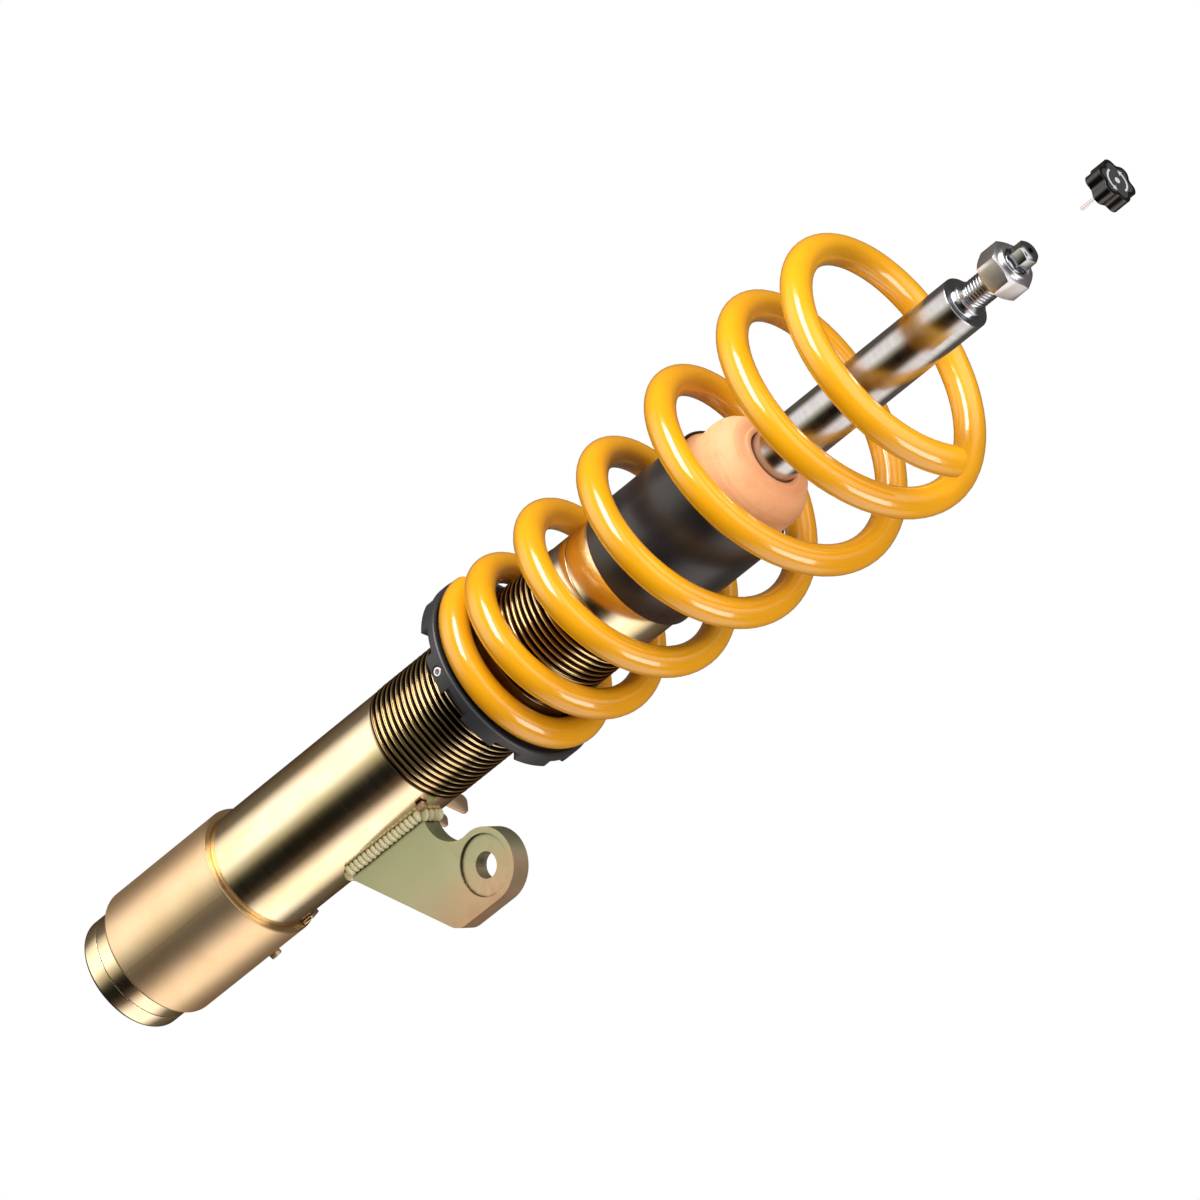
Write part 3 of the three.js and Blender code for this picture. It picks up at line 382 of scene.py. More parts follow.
def blued_shim():
    """Rolled spring-steel shim stock, blued."""
    return plain_metal("blued_spring_steel_shim", "#3a414e", "#555b66", (0.22, 0.32),
                       0.4 * MM, (0.1, 1, 1), 0.002 * MM)


def turned_alloy():
    """Turned aluminium of the rod guide and base valve."""
    return plain_metal("turned_aluminium", "#aeb1b6", "#c7cace", (0.28, 0.42),
                       0.25 * MM, (0.05, 0.05, 1), 0.004 * MM)


def lined_bronze():
    """Sintered bronze with a low-friction lining."""
    return plain_metal("sintered_bronze_lining", "#7c5227", "#a8763e", (0.4, 0.55),
                       0.2 * MM, (1, 1, 1), 0.01 * MM)


def powder_coat():
    """Amber powder coat on shot-peened wire: high gloss with a slight orange peel."""
    material, tree = blank_material("amber_powder_coat_on_peened_wire")
    peel = noise(tree, 1.6 * MM, detail=1)
    tone = noise(tree, 30 * MM, detail=2)
    shift = ramp(tree, tone, [(0.3, "#f8f4ec"), (0.7, "#ffffff")])
    base = mix_colour(tree, 1.0, shift, setting("spring", "coat"), "MULTIPLY")
    finish_material(tree, {
        "Base Color": base, "Roughness": remap(tree, peel, 0.2, 0.28),
        "Coat Weight": 0.7, "Coat Roughness": 0.05, "Specular IOR Level": 0.55,
        "Normal": bumped(tree, peel, 0.012 * MM)})
    return material


def black_anodise():
    """Turned aluminium hub, black anodised and glossy; its colour is a light warm brown all over, a painted
    reflection of the spring and a painted highlight.
    """
    # Painted reflection and highlight: this base colour is far lighter and warmer than black anodise.
    return plain_metal("black_anodise_on_turned_hub", "#7a6e63", "#8f8276", (0.1, 0.18),
                       0.3 * MM, (0.04, 0.04, 1), 0.002 * MM)


def plastic(name, tint, roughness, size, stretch, depth, coat=0.0):
    """A moulded polymer whose tone, gloss and grain follow one noise."""
    material, tree = blank_material(name)
    grain = noise(tree, size, stretch, 3)
    shift = ramp(tree, grain, [(0.3, "#d8d8d8"), (0.7, "#ffffff")])
    finish_material(tree, {
        "Base Color": mix_colour(tree, 1.0, shift, tint, "MULTIPLY"),
        "Roughness": remap(tree, grain, *roughness), "Coat Weight": coat, "Coat Roughness": 0.08,
        "Normal": bumped(tree, grain, depth)})
    return material


def glass_filled_nylon():
    """Glass-filled nylon collar, moulded against a fine spark-eroded grain."""
    return plastic("moulded_glass_filled_nylon", setting("spring", "collar_colour"), (0.34, 0.48),
                   0.35 * MM, (1, 1, 1), 0.02 * MM)


def boot_polypropylene():
    """Moulded polypropylene boot: satin black from a polished mould."""
    return plastic("moulded_polypropylene_boot", setting("rod", "boot_colour"), (0.27, 0.34),
                   6 * MM, (1, 1, 0.3), 0.004 * MM)


def gloss_abs():
    """Gloss-moulded ABS of the adjuster knob."""
    return plastic("gloss_moulded_abs", setting("rod", "knob_colour"), (0.12, 0.2),
                   4 * MM, (1, 1, 1), 0.002 * MM, 0.4)


def grained_abs():
    """Etched face of the knob: the same ABS against a matt insert."""
    return plastic("etched_abs_face", colour("#3a3a3c"), (0.45, 0.6), 0.3 * MM, (1, 1, 1), 0.015 * MM)


def pad_ink():
    """Pale pad-printed ink of the knob's marks."""
    return plastic("pale_pad_print_ink", colour("#d2d2d0"), (0.5, 0.62), 0.2 * MM, (1, 1, 1), 0.003 * MM)


def nitrile():
    """Moulded nitrile rubber of the seals."""
    return plastic("moulded_nitrile_rubber", colour("#1d1d20"), (0.55, 0.7),
                   0.6 * MM, (1, 1, 1), 0.01 * MM)


def cellular_foam():
    """Cellular polyurethane with a moulded skin: fine open pores, and a deeper orange towards the top lip.
    """
    material, tree = blank_material("moulded_cellular_polyurethane")
    settings = bpy.context.scene.coilover_rod
    cells = add_node(tree, "ShaderNodeTexVoronoi", {
        "Vector": object_coords(tree), "Scale": 1 / settings.foam_cell}).outputs["Distance"]
    tone = noise(tree, 5 * MM, detail=4)
    where = add_node(tree, "ShaderNodeSeparateXYZ", {0: object_coords(tree)})
    lip = remap(tree, where.outputs["Z"], 0.0, 0.8, FOAM_LIP_BOTTOM * MM, FOAM_LIP_TOP * MM)
    shift = ramp(tree, tone, [(0.25, "#f8ede2"), (0.5, "#ffffff"), (0.75, "#fffdf6")])
    base = mix_colour(tree, 1.0, shift, setting("rod", "foam_colour"), "MULTIPLY")
    base = mix_colour(tree, lip, base, colour("#eda878"))
    finish_material(tree, {
        "Base Color": base, "Roughness": remap(tree, tone, 0.55, 0.72),
        "Subsurface Weight": 0.45, "Subsurface Scale": 3 * MM,
        "Normal": bumped(tree, cells, 0.05 * MM)})
    return material


MATERIALS = {
    "gold_zinc_tube": zinc_gold_drawn, "satin_gold_sleeve": zinc_gold_blasted,
    "satin_gold_plate": zinc_gold_plate, "plated_weld": zinc_gold_weld, "bright_zinc": bright_zinc,
    "seal_rubber": nitrile, "guide_alloy": turned_alloy, "bearing_bronze": lined_bronze,
    "plain_steel": turned_steel, "spring_steel": blued_shim, "hard_chrome": hard_chrome,
    "black_anodised": black_anodise, "amber_powder_coat": powder_coat,
    "black_composite": glass_filled_nylon, "knob_plastic": gloss_abs,
    "boot_plastic": boot_polypropylene, "cellular_foam": cellular_foam,
    "knob_face": grained_abs, "knob_ink": pad_ink,
}
_made = {}


def material(slot):
    if slot not in _made:
        _made[slot] = MATERIALS[slot]()
    return _made[slot]


# ---------------------------------------------------------------- mesh helpers

def arc(cr, cz, radius, start, end, steps=8):
    """Profile points [r, z] on a circle about (cr, cz), angles in degrees."""
    angles = [math.radians(start + (end - start) * i / steps) for i in range(steps + 1)]
    return [(cr + radius * math.cos(a), cz + radius * math.sin(a)) for a in angles]


def rounded(profile, radius, steps=4):
    """The closed profile with each corner replaced by a round of up to radius."""
    result = []
    for i, corner in enumerate(profile):
        here = Vector(corner)
        to_last = Vector(profile[i - 1]) - here
        to_next = Vector(profile[(i + 1) % len(profile)]) - here
        turn = to_last.angle(to_next)
        cut = min(radius / math.tan(turn / 2), to_last.length * 0.45, to_next.length * 0.45)
        if corner[0] == 0 or turn > math.radians(172):
            result.append(tuple(here))
            continue
        a, b = here + to_last.normalized() * cut, here + to_next.normalized() * cut
        for k in range(steps + 1):
            t = k / steps
            result.append(tuple(a * (1 - t) ** 2 + here * 2 * t * (1 - t) + b * t * t))
    return result


def shade(mesh, degrees=32):
    mesh.shade_smooth()
    mesh.set_sharp_from_angle(angle=math.radians(degrees))


def add_object(name, mesh, slot):
    """Puts a mesh in the scene as one piece, with the material made for the record's slot."""
    mesh.materials.clear()
    mesh.materials.append(material(slot))
    shade(mesh)
    piece = bpy.data.objects.new(name, mesh)
    bpy.context.scene.collection.objects.link(piece)
    return piece


def mesh_from(name, points, faces):
    mesh = bpy.data.meshes.new(name)
    mesh.from_pydata([tuple(p) for p in points], [], faces)
    mesh.update()
    return mesh


def lathe(name, profile, sides=96, edge=0.25 * MM):
    """A turned mesh: profile is a closed list of (r, z), or starts and ends on the axis."""
    outline = rounded(profile, edge) if edge else list(profile)
    open_ends = outline[0][0] == 0
    points, rings = [], []
    for r, z in outline:
        if r == 0:
            rings.append([len(points)] * sides)
            points.append((0, 0, z))
            continue
        rings.append(list(range(len(points), len(points) + sides)))
        for k in range(sides):
            a = 2 * math.pi * k / sides
            points.append((r * math.cos(a), r * math.sin(a), z))
    pairs = list(zip(rings, rings[1:])) + ([] if open_ends else [(rings[-1], rings[0])])
    faces = []
    for low, high in pairs:
        for k in range(sides):
            n = (k + 1) % sides
            face = list(dict.fromkeys((low[k], low[n], high[n], high[k])))
            if len(face) > 2:
                faces.append(face)
    return mesh_from(name, points, faces)


def prism(name, outline, bottom, top):
    """An outline [(x, y)] run from bottom to top."""
    count = len(outline)
    points = [(x, y, bottom) for x, y in outline] + [(x, y, top) for x, y in outline]
    faces = [list(range(count))[::-1], list(range(count, 2 * count))]
    faces += [[k, (k + 1) % count, (k + 1) % count + count, k + count] for k in range(count)]
    return mesh_from(name, points, faces)


def polygon(count, across_flats, start=0.0):
    corner = across_flats / 2 / math.cos(math.pi / count)
    return [(corner * math.cos(math.radians(start) + 2 * math.pi * k / count),
             corner * math.sin(math.radians(start) + 2 * math.pi * k / count)) for k in range(count)]


def box_outline(x0, x1, y0, y1):
    return [(x0, y0), (x1, y0), (x1, y1), (x0, y1)]


def rotate_z(mesh, degrees):
    mesh.transform(Matrix.Rotation(math.radians(degrees), 4, "Z"))
    return mesh


def lay_along_x(mesh, z=0.0):
    """Turns a mesh built along Z to lie along +X at height z."""
    mesh.transform(Matrix.Translation((0, 0, z)) @ Matrix.Rotation(math.pi / 2, 4, "Y"))
    return mesh


def joined(name, meshes):
    build = bmesh.new()
    for mesh in meshes:
        build.from_mesh(mesh)
    result = bpy.data.meshes.new(name)
    build.to_mesh(result)
    build.free()
    return result


def evaluated(mesh, add_modifiers):
    """The mesh after modifiers: they are added by the function given, read out, then dropped."""
    holder = bpy.data.objects.new("holder", mesh)
    bpy.context.scene.collection.objects.link(holder)
    add_modifiers(holder)
    bpy.context.view_layer.update()
    depsgraph = bpy.context.evaluated_depsgraph_get()
    result = bpy.data.meshes.new_from_object(holder.evaluated_get(depsgraph), depsgraph=depsgraph)
    bpy.data.objects.remove(holder)
    return result


def bevelled(mesh, width, segments=2, degrees=35):
    def add(holder):
        bevel = holder.modifiers.new("bevel", "BEVEL")
        bevel.width, bevel.segments, bevel.limit_method = width, segments, "ANGLE"
        bevel.angle_limit = math.radians(degrees)
    return evaluated(mesh, add)


def boolean(mesh, tool, operation="DIFFERENCE"):
    """The mesh less the tool's, or what the two share."""
    other = bpy.data.objects.new("tool", tool)
    bpy.context.scene.collection.objects.link(other)

    def add(holder):
        modifier = holder.modifiers.new("boolean", "BOOLEAN")
        modifier.operation, modifier.solver, modifier.object = operation, "EXACT", other
    result = evaluated(mesh, add)
    bpy.data.objects.remove(other)
    return result


def cut(mesh, cutters):
    """The mesh with each cutter mesh taken away."""
    for cutter in cutters:
        mesh = boolean(mesh, cutter)
    return mesh


# ---------------------------------------------------------------- node trees that shape

class Tree:
    """A Geometry Nodes tree with a geometry input, named inputs and a geometry output."""

    def __init__(self, name, inputs):
        self.tree = bpy.data.node_groups.new(name, "GeometryNodeTree")
        face = self.tree.interface
        face.new_socket("Geometry", in_out="INPUT", socket_type="NodeSocketGeometry")
        for label, kind in inputs:
            face.new_socket(label, in_out="INPUT", socket_type=kind)
        face.new_socket("Geometry", in_out="OUTPUT", socket_type="NodeSocketGeometry")
        self.inputs = self.tree.nodes.new("NodeGroupInput").outputs

    def add(self, kind, values=None, **settings):
        return add_node(self.tree, kind, values, **settings)

    def math(self, operation, a, b=0.0):
        return self.add("ShaderNodeMath", {0: a, 1: b}, operation=operation).outputs[0]

    def end(self, geometry):
        """Realize, set the material and close the tree."""
        real = self.add("GeometryNodeRealizeInstances", {0: geometry}).outputs[0]
        painted = self.add("GeometryNodeSetMaterial", {
            "Geometry": real, "Material": self.inputs["Material"]}).outputs[0]
        self.add("NodeGroupOutput", {0: painted})

    def apply(self, name, mesh, slot, **values):
        """Runs the tree on a mesh with the named inputs and returns the finished mesh."""
        values["Material"] = material(slot)

        def add(holder):
            modifier = holder.modifiers.new(name, "NODES")
            modifier.node_group = self.tree
            for item in self.tree.interface.items_tree:
                if item.in_out == "INPUT" and item.name in values:
                    modifier[item.identifier] = values[item.name]
        return evaluated(mesh, add)


def sweep_tree():
    """Sweeps a round section along the edges of a mesh path; each point's scale sizes its ring."""
    tree = Tree("sweep_round_wire", [
        ("Radius", "NodeSocketFloat"), ("Sides", "NodeSocketInt"), ("Material", "NodeSocketMaterial")])
    curve = tree.add("GeometryNodeMeshToCurve", {0: tree.inputs["Geometry"]}).outputs[0]
    scale = tree.add("GeometryNodeInputNamedAttribute", {"Name": "ring_scale"}, data_type="FLOAT")
    section = tree.add("GeometryNodeCurvePrimitiveCircle", {
        "Resolution": tree.inputs["Sides"], "Radius": tree.inputs["Radius"]}).outputs[0]
    sized = tree.add("GeometryNodeSetCurveRadius", {"Curve": curve, "Radius": scale.outputs[0]}).outputs[0]
    swept = tree.add("GeometryNodeCurveToMesh", {
        "Curve": sized, "Profile Curve": section, "Fill Caps": True})
    if "Scale" in swept.inputs:
        tree.tree.links.new(scale.outputs[0], swept.inputs["Scale"])
    tree.end(swept.outputs[0])
    return tree


def thread_tree():
    """Turns a flat grid (X is the angle, Y the height) into a rolled right-hand thread."""
    tree = Tree("rolled_thread", [
        ("Crest", "NodeSocketFloat"), ("Depth", "NodeSocketFloat"), ("Pitch", "NodeSocketFloat"),
        ("Land", "NodeSocketFloat"), ("Bottom", "NodeSocketFloat"), ("Top", "NodeSocketFloat"),
        ("Material", "NodeSocketMaterial")])
    place = tree.add("ShaderNodeSeparateXYZ", {
        0: tree.add("GeometryNodeInputPosition").outputs[0]}).outputs
    angle, height = place[0], place[1]
    turns = tree.math("SUBTRACT", tree.math("DIVIDE", height, tree.inputs["Pitch"]),
                      tree.math("DIVIDE", angle, 2 * math.pi))
    wave = tree.math("COSINE", tree.math("MULTIPLY", turns, 2 * math.pi))
    valley = tree.math("POWER", tree.math("MULTIPLY", tree.math("SUBTRACT", 1.0, wave), 0.5), 1.25)
    sunk = tree.math("MULTIPLY", valley, tree.inputs["Depth"])
    threaded = tree.math("SUBTRACT", tree.inputs["Crest"], sunk)
    rise = tree.math("DIVIDE", tree.math("SUBTRACT", height, tree.inputs["Bottom"]), tree.inputs["Pitch"])
    fall = tree.math("DIVIDE", tree.math("SUBTRACT", tree.inputs["Top"], height), tree.inputs["Pitch"])
    nearest = tree.math("MINIMUM", rise, fall)
    fade = tree.add("ShaderNodeClamp", {0: nearest}).outputs[0]
    step = tree.math("SUBTRACT", threaded, tree.inputs["Land"])
    radius = tree.math("ADD", tree.inputs["Land"], tree.math("MULTIPLY", step, fade))
    spot = tree.add("ShaderNodeCombineXYZ", {
        0: tree.math("MULTIPLY", radius, tree.math("COSINE", angle)),
        1: tree.math("MULTIPLY", radius, tree.math("SINE", angle)), 2: height}).outputs[0]
    wrapped = tree.add("GeometryNodeSetPosition", {
        "Geometry": tree.inputs["Geometry"], "Position": spot}).outputs[0]
    closed = tree.add("GeometryNodeMergeByDistance", {
        "Geometry": wrapped, "Distance": 0.001 * MM}).outputs[0]
    tree.end(closed)
    return tree


def weld_tree():
    """Lays overlapping ripples along a mesh path, each turned to follow it and sized at random."""
    tree = Tree("weld_ripples", [
        ("Pitch", "NodeSocketFloat"), ("Radius", "NodeSocketFloat"), ("Seed", "NodeSocketInt"),
        ("Material", "NodeSocketMaterial")])
    curve = tree.add("GeometryNodeMeshToCurve", {0: tree.inputs["Geometry"]}).outputs[0]
    spaced = tree.add("GeometryNodeCurveToPoints", {
        "Curve": curve, "Length": tree.inputs["Pitch"]}, mode="LENGTH")
    ripple = tree.add("GeometryNodeMeshUVSphere", {
        "Segments": 24, "Rings": 16, "Radius": tree.inputs["Radius"]}).outputs[0]
    flat = tree.add("GeometryNodeTransform", {0: ripple, "Scale": (1.0, 1.0, 0.62)}).outputs[0]
    size = tree.add("FunctionNodeRandomValue", {
        2: 0.94, 3: 1.05, "Seed": tree.inputs["Seed"]}, data_type="FLOAT").outputs[1]
    laid = tree.add("GeometryNodeInstanceOnPoints", {
        "Points": spaced.outputs["Points"], "Instance": flat,
        "Rotation": spaced.outputs["Rotation"], "Scale": size}).outputs[0]
    tree.end(laid)
    return tree


def thread_mesh(name, slot, crest, depth, pitch, land, bottom, top, sides):
    """A threaded length from bottom to top; at both ends it runs out to the land's radius."""
    rows = round((top - bottom) / pitch * 14)
    angles = np.linspace(0, 2 * math.pi, sides + 1)
    heights = np.linspace(bottom, top, rows + 1)
    points = [(a, z, 0) for z in heights for a in angles]
    faces = [[j * (sides + 1) + i, j * (sides + 1) + i + 1, (j + 1) * (sides + 1) + i + 1,
              (j + 1) * (sides + 1) + i] for j in range(rows) for i in range(sides)]
    return thread_tree().apply(name, mesh_from(name, points, faces), slot, Crest=crest, Depth=depth,
                               Pitch=pitch, Land=land, Bottom=bottom, Top=top)


def path_mesh(name, points, scales=None, extra=None):
    """A mesh polyline, with a ring_scale and any extra value at each point."""
    mesh = bpy.data.meshes.new(name)
    mesh.from_pydata([tuple(p) for p in points], [(i, i + 1) for i in range(len(points) - 1)], [])
    fields = {"ring_scale": scales if scales is not None else [1.0] * len(points), **(extra or {})}
    for key, values in fields.items():
        mesh.attributes.new(key, "FLOAT", "POINT").data.foreach_set("value", list(values))
    return mesh


def through(knots, x):
    """A smooth curve through (place, value) knots, with slopes from the neighbouring knots."""
    def slope(i):
        a, b = knots[max(i - 1, 0)], knots[min(i + 1, len(knots) - 1)]
        return (b[1] - a[1]) / (b[0] - a[0])
    i = 0
    while i < len(knots) - 2 and x > knots[i + 1][0]:
        i += 1
    (t0, v0), (t1, v1) = knots[i], knots[i + 1]
    u = min(max((x - t0) / (t1 - t0), 0), 1)
    return (v0 * (2 * u ** 3 - 3 * u ** 2 + 1) + v1 * (3 * u ** 2 - 2 * u ** 3)
            + (t1 - t0) * (slope(i) * (u ** 3 - 2 * u ** 2 + u) + slope(i + 1) * (u ** 3 - u ** 2)))


def place(piece, body, *nodes):
    """The piece rides on a body and stands for the CAD nodes named."""
    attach(piece, body)
    if nodes:
        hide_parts(*nodes)
    return piece


# ---------------------------------------------------------------- tube and knuckle end

def mm(points):
    return [tuple(v * MM for v in point) for point in points]


def bar(radius, bottom, top, sides=32):
    """A plain cutter: a round bar along Z, in millimetres."""
    return lathe("bar", mm([(0, bottom), (radius, bottom), (radius, top), (0, top)]), sides, 0)


def boss(name, slot, half_width, r0, r1, z0, z1, angle, edge=0.4):
    """A small bevelled block on the tube's side, facing out at an angle."""
    mesh = prism(name, mm(box_outline(r0, r1, -half_width, half_width)), z0 * MM, z1 * MM)
    return add_object(name, rotate_z(bevelled(mesh, edge * MM, 3), angle), slot)


PIN_HEIGHT, PIN_ANGLE = 59, 32
SEAM_ANGLE = 290


class COILOVER_OT_tube(bpy.types.Operator):
    """Builds the damper tube, its thread, bottom cup, clamp sleeve and top cap"""

    bl_idname = "coilover.tube"
    bl_label = "Tube and sleeve"

    def execute(self, context):
        settings = context.scene.coilover_tube
        radius = settings.radius / MM
        tube = lathe("tube_body", mm([
            (23.2, 9.3), (25.4, 9.3), (25.4, 22.6), (radius, 23.3), (radius, 180.2), (25, 180.2),
            (25, 285.8), (radius, 285.8), (radius, 298.2), (23.2, 298.2)]), 128, 0.2 * MM)
        thread = thread_mesh("tube_thread", "gold_zinc_tube", THREAD_CREST * MM, settings.thread_depth,
                             settings.thread_pitch, settings.radius, THREAD_BOTTOM * MM,
                             THREAD_TOP * MM, settings.thread_sides)
        place(add_object("strut_tube_shell", joined("tube", [tube, thread]), "gold_zinc_tube"),
              "strut", "strut_tube")
        cup = lathe("cup", mm([
            (0, 0), *arc(23, 2.4, 2.4, -90, 0), (25.4, 9), (22.9, 9), (22.9, 14), (0, 14)]),
            128, 0.15 * MM)
        place(add_object("bottom_cup_shell", cup, "gold_zinc_tube"), "strut", "bottom_cup")
        cap = lathe("cap", mm([
            (20.1, 284.5), (22.9, 284.5), (22.9, 298.5), (radius, 298.5), (radius, 318), (24, 320),
            (11.35, 320), (11.35, 314), (14.5, 314), (14.5, 309.5), (20.1, 309.5)]), 128)
        place(add_object("gland_cap_shell", cap, "gold_zinc_tube"), "strut", "gland_cap")
        self.sleeve(settings.sleeve_radius / MM)
        return {"FINISHED"}

    def sleeve(self, radius):
        body = lathe("sleeve", mm([
            (26.05, 17.5), *arc(radius - 2.2, 19.7, 2.2, -90, 0), *arc(radius - 0.6, 81.4, 0.6, 0, 90),
            (26.05, SLEEVE_TOP)]), 160, 0.05 * MM)
        pin_hole = rotate_z(lay_along_x(bar(2.8, 24, 31), PIN_HEIGHT * MM), PIN_ANGLE)
        seam = rotate_z(prism("seam", mm(box_outline(radius - 0.3, radius + 1, -0.11, 0.11)),
                              16 * MM, 84 * MM), SEAM_ANGLE)
        place(add_object("clamp_sleeve_shell", cut(body, [pin_hole, seam]), "satin_gold_sleeve"),
              "strut", "clamp_sleeve")
        pin = lathe("pin", mm([(0, 26.6), (2.5, 26.6), (2.5, 31.1), (0, 31.1)]), 48, 0.5 * MM)
        place(add_object("sleeve_pin_body", rotate_z(lay_along_x(pin, PIN_HEIGHT * MM), PIN_ANGLE),
                         "satin_gold_plate"),
              "strut", "sleeve_pin")
        tab = boss("index_tab_body", "gold_zinc_tube", 3.5, 26.3, 27.9, 82.3, 87.3, 30)
        place(tab, "strut", "index_tab")


# ---------------------------------------------------------------- bracket, weld and tube fittings

EYE = (60.0, 187.0)
PLATE_HALF = 4.5
SPOT_DEPTH = 1.2
CLIP_ANGLE = 65


def bracket_outline():
    """The plate's outline in X and Z, millimetres, anticlockwise from the foot."""
    heel, foot = Vector((66.1, 166.5)), Vector((30.8, 126))
    reach = heel - foot
    slope = math.degrees(math.atan2(reach.y, reach.x) - math.asin(9 / reach.length))
    drop = math.degrees(math.asin(3 / 15.1))
    notch_x = EYE[0] - math.sqrt(15.1 ** 2 - 9) - 14.6
    return [(10, 126), (30.8, 126), *arc(*heel, 9, slope - 90, 0, 12), *arc(*EYE, 15.1, 0, 180 + drop, 40),
            *arc(notch_x, 184, 14.6, 0, -90, 20)[1:], (10, 169.4)]


def stand_up(mesh):
    """Turns a prism drawn in X and Z so that its height runs along Y."""
    mesh.transform(Matrix.Rotation(math.pi / 2, 4, "X"))
    return mesh


def along_y(mesh, x, z):
    mesh.transform(Matrix.Translation((x * MM, 0, z * MM)) @ Matrix.Rotation(math.pi / 2, 4, "X"))
    return mesh


class COILOVER_OT_bracket(bpy.types.Operator):
    """Builds the drop-link bracket, its weld, the hose clip and the locating lug"""

    bl_idname = "coilover.bracket"
    bl_label = "Bracket and fittings"

    def execute(self, context):
        settings = context.scene.coilover_bracket
        plate = stand_up(prism("plate", mm(bracket_outline()), -PLATE_HALF * MM, PLATE_HALF * MM))
        plate = cut(plate, [
            bar(26.3, 100, 200, 96), along_y(bar(5.4, -8, 8, 64), *EYE),
            along_y(bar(12.6, PLATE_HALF - SPOT_DEPTH, 8, 96), *EYE),
            along_y(bar(12.6, -8, SPOT_DEPTH - PLATE_HALF, 96), *EYE)])
        place(add_object("link_bracket_plate", bevelled(plate, settings.bevel, 3), "satin_gold_plate"),
              "strut", "link_bracket")
        self.weld(settings)
        self.clip()
        lug = boss("locating_lug_body", "satin_gold_plate", 1.8, 26.3, 28.7, 173, 177, 340.5)
        place(lug, "strut", "locating_lug")
        return {"FINISHED"}

    def weld(self, settings):
        up, over = np.linspace(127.5, 168.6, 18), np.linspace(-3.6, 3.6, 5)
        path = [(26.1, -5.1, z) for z in up] + [(27, y, 170.4) for y in over]
        path += [(26.1, 5.1, z) for z in up[::-1]] + [(27, y, 124.9) for y in over[::-1]]
        beads = weld_tree().apply("weld", path_mesh("weld_path", mm(path)), "plated_weld",
                                  Pitch=settings.ripple, Radius=settings.bead, Seed=SEED)
        place(add_object("bracket_weld_run", beads, "plated_weld"), "strut", "bracket_weld_front",
              "bracket_weld_back", "bracket_weld_top", "bracket_weld_bottom")

    def clip(self):
        parts = [prism("web", mm(box_outline(26.3, 27.7, -4.5, 4.5)), 147 * MM, 160.6 * MM)]
        for half, z in ((3, 147), (4.5, 159.2)):
            corner = half * 0.6
            finger = [(26.3, -half), *arc(42 - corner, corner - half, corner, -90, 0, 6),
                      *arc(42 - corner, half - corner, corner, 0, 90, 6), (26.3, half)]
            parts.append(prism("finger", mm(finger), z * MM, (z + 1.4) * MM))
        parts = [rotate_z(bevelled(part, 0.25 * MM, 2), CLIP_ANGLE) for part in parts]
        sheet = add_object("hose_clip_sheet", joined("clip", parts), "satin_gold_plate")
        place(sheet, "strut", "hose_clip")
        for name, side in (("hose_clip_weld_left", 1), ("hose_clip_weld_right", -1)):
            path = path_mesh("path", mm([(26.6, side * 5.5, z) for z in np.linspace(149.4, 158.2, 6)]))
            bead = weld_tree().apply("bead", path, "plated_weld", Pitch=1.5 * MM, Radius=1.2 * MM,
                                     Seed=SEED + side)
            place(add_object(name + "_bead", rotate_z(bead, CLIP_ANGLE), "plated_weld"), "strut", name)


# ---------------------------------------------------------------- collar, hub and spring

SLOT_COUNT, FIRST_SLOT = 9, 9
SCREW_HEIGHT, SCREW_ANGLE = 232.65, 269


class COILOVER_OT_collar(bpy.types.Operator):
    """Builds the height-adjuster collar, its lock screw and the spring hub"""

    bl_idname = "coilover.collar"
    bl_label = "Collar and hub"

    def execute(self, context):
        settings = context.scene.coilover_spring
        body = lathe("collar", mm([
            (26.65, 229.5), (40.5, 229.5), (41, 230), (41, 236.6), (40.5, 237.1), (39.2, 237.1),
            (38.6, 235.8), (27.95, 235.8), (27.95, 233.2), (26.65, 233.2)]), 144, 0)
        slot = mm(box_outline(36.4, 43, -6.1, 6.1))
        slots = [rotate_z(prism("slot", slot, 228 * MM, 233.7 * MM), FIRST_SLOT + 360 / SLOT_COUNT * i)
                 for i in range(SLOT_COUNT)]
        screw_hole = rotate_z(lay_along_x(bar(2.3, 28, 43), SCREW_HEIGHT * MM), SCREW_ANGLE)
        collar = bevelled(cut(body, [*slots, screw_hole]), settings.collar_bevel, 2, 40)
        place(add_object("adjuster_collar_body", collar, "black_composite"), "collar", "adjuster_collar")
        screw = lathe("screw", mm([(0, 29), (2, 29), (2, 40.7), (0, 40.7)]), 40, 0.3 * MM)
        socket = prism("socket", mm(polygon(6, 2.2)), 38.5 * MM, 42 * MM)
        screw = rotate_z(lay_along_x(cut(screw, [socket]), SCREW_HEIGHT * MM), SCREW_ANGLE)
        place(add_object("lock_screw_body", screw, "bright_zinc"), "lock_screw", "collar_lock_screw")
        hub = lathe("hub", mm([(26.65, 233.5), (27.65, 233.5), (27.65, 250), (26.65, 250)]),
                    128, 0.35 * MM)
        place(add_object("spring_hub_sleeve", hub, "black_anodised"), "lower_seat", "spring_hub")
        return {"FINISHED"}


COIL_START = 203.66
END_COIL_FROM = 5.62
DEAD_TURNS = 1.05
COIL_HEIGHTS = [(0, 242.3), (0.25, 242.985), (0.5, 245.04), (0.75, 249.698), (1, 256.0), (1.5, 271.989),
                (2, 289.501), (2.5, 309.7), (3, 329.898), (3.5, 351.26), (4, 374.503), (4.5, 397.493),
                (5, 420.505), (5.5, 441.507), (6, 458.49), (6.417, 467.5)]
COIL_RADII = [(0, 34.6), (0.5, 34.6), (0.75, 34.6), (1, 34.932), (1.5, 37.007), (2, 39.198), (2.5, 40.692),
              (3, 42.203), (3.5, 44.195), (4, 46.801), (4.5, 49.208), (5, 50.901), (5.5, 51.2),
              (6.417, 51.2)]


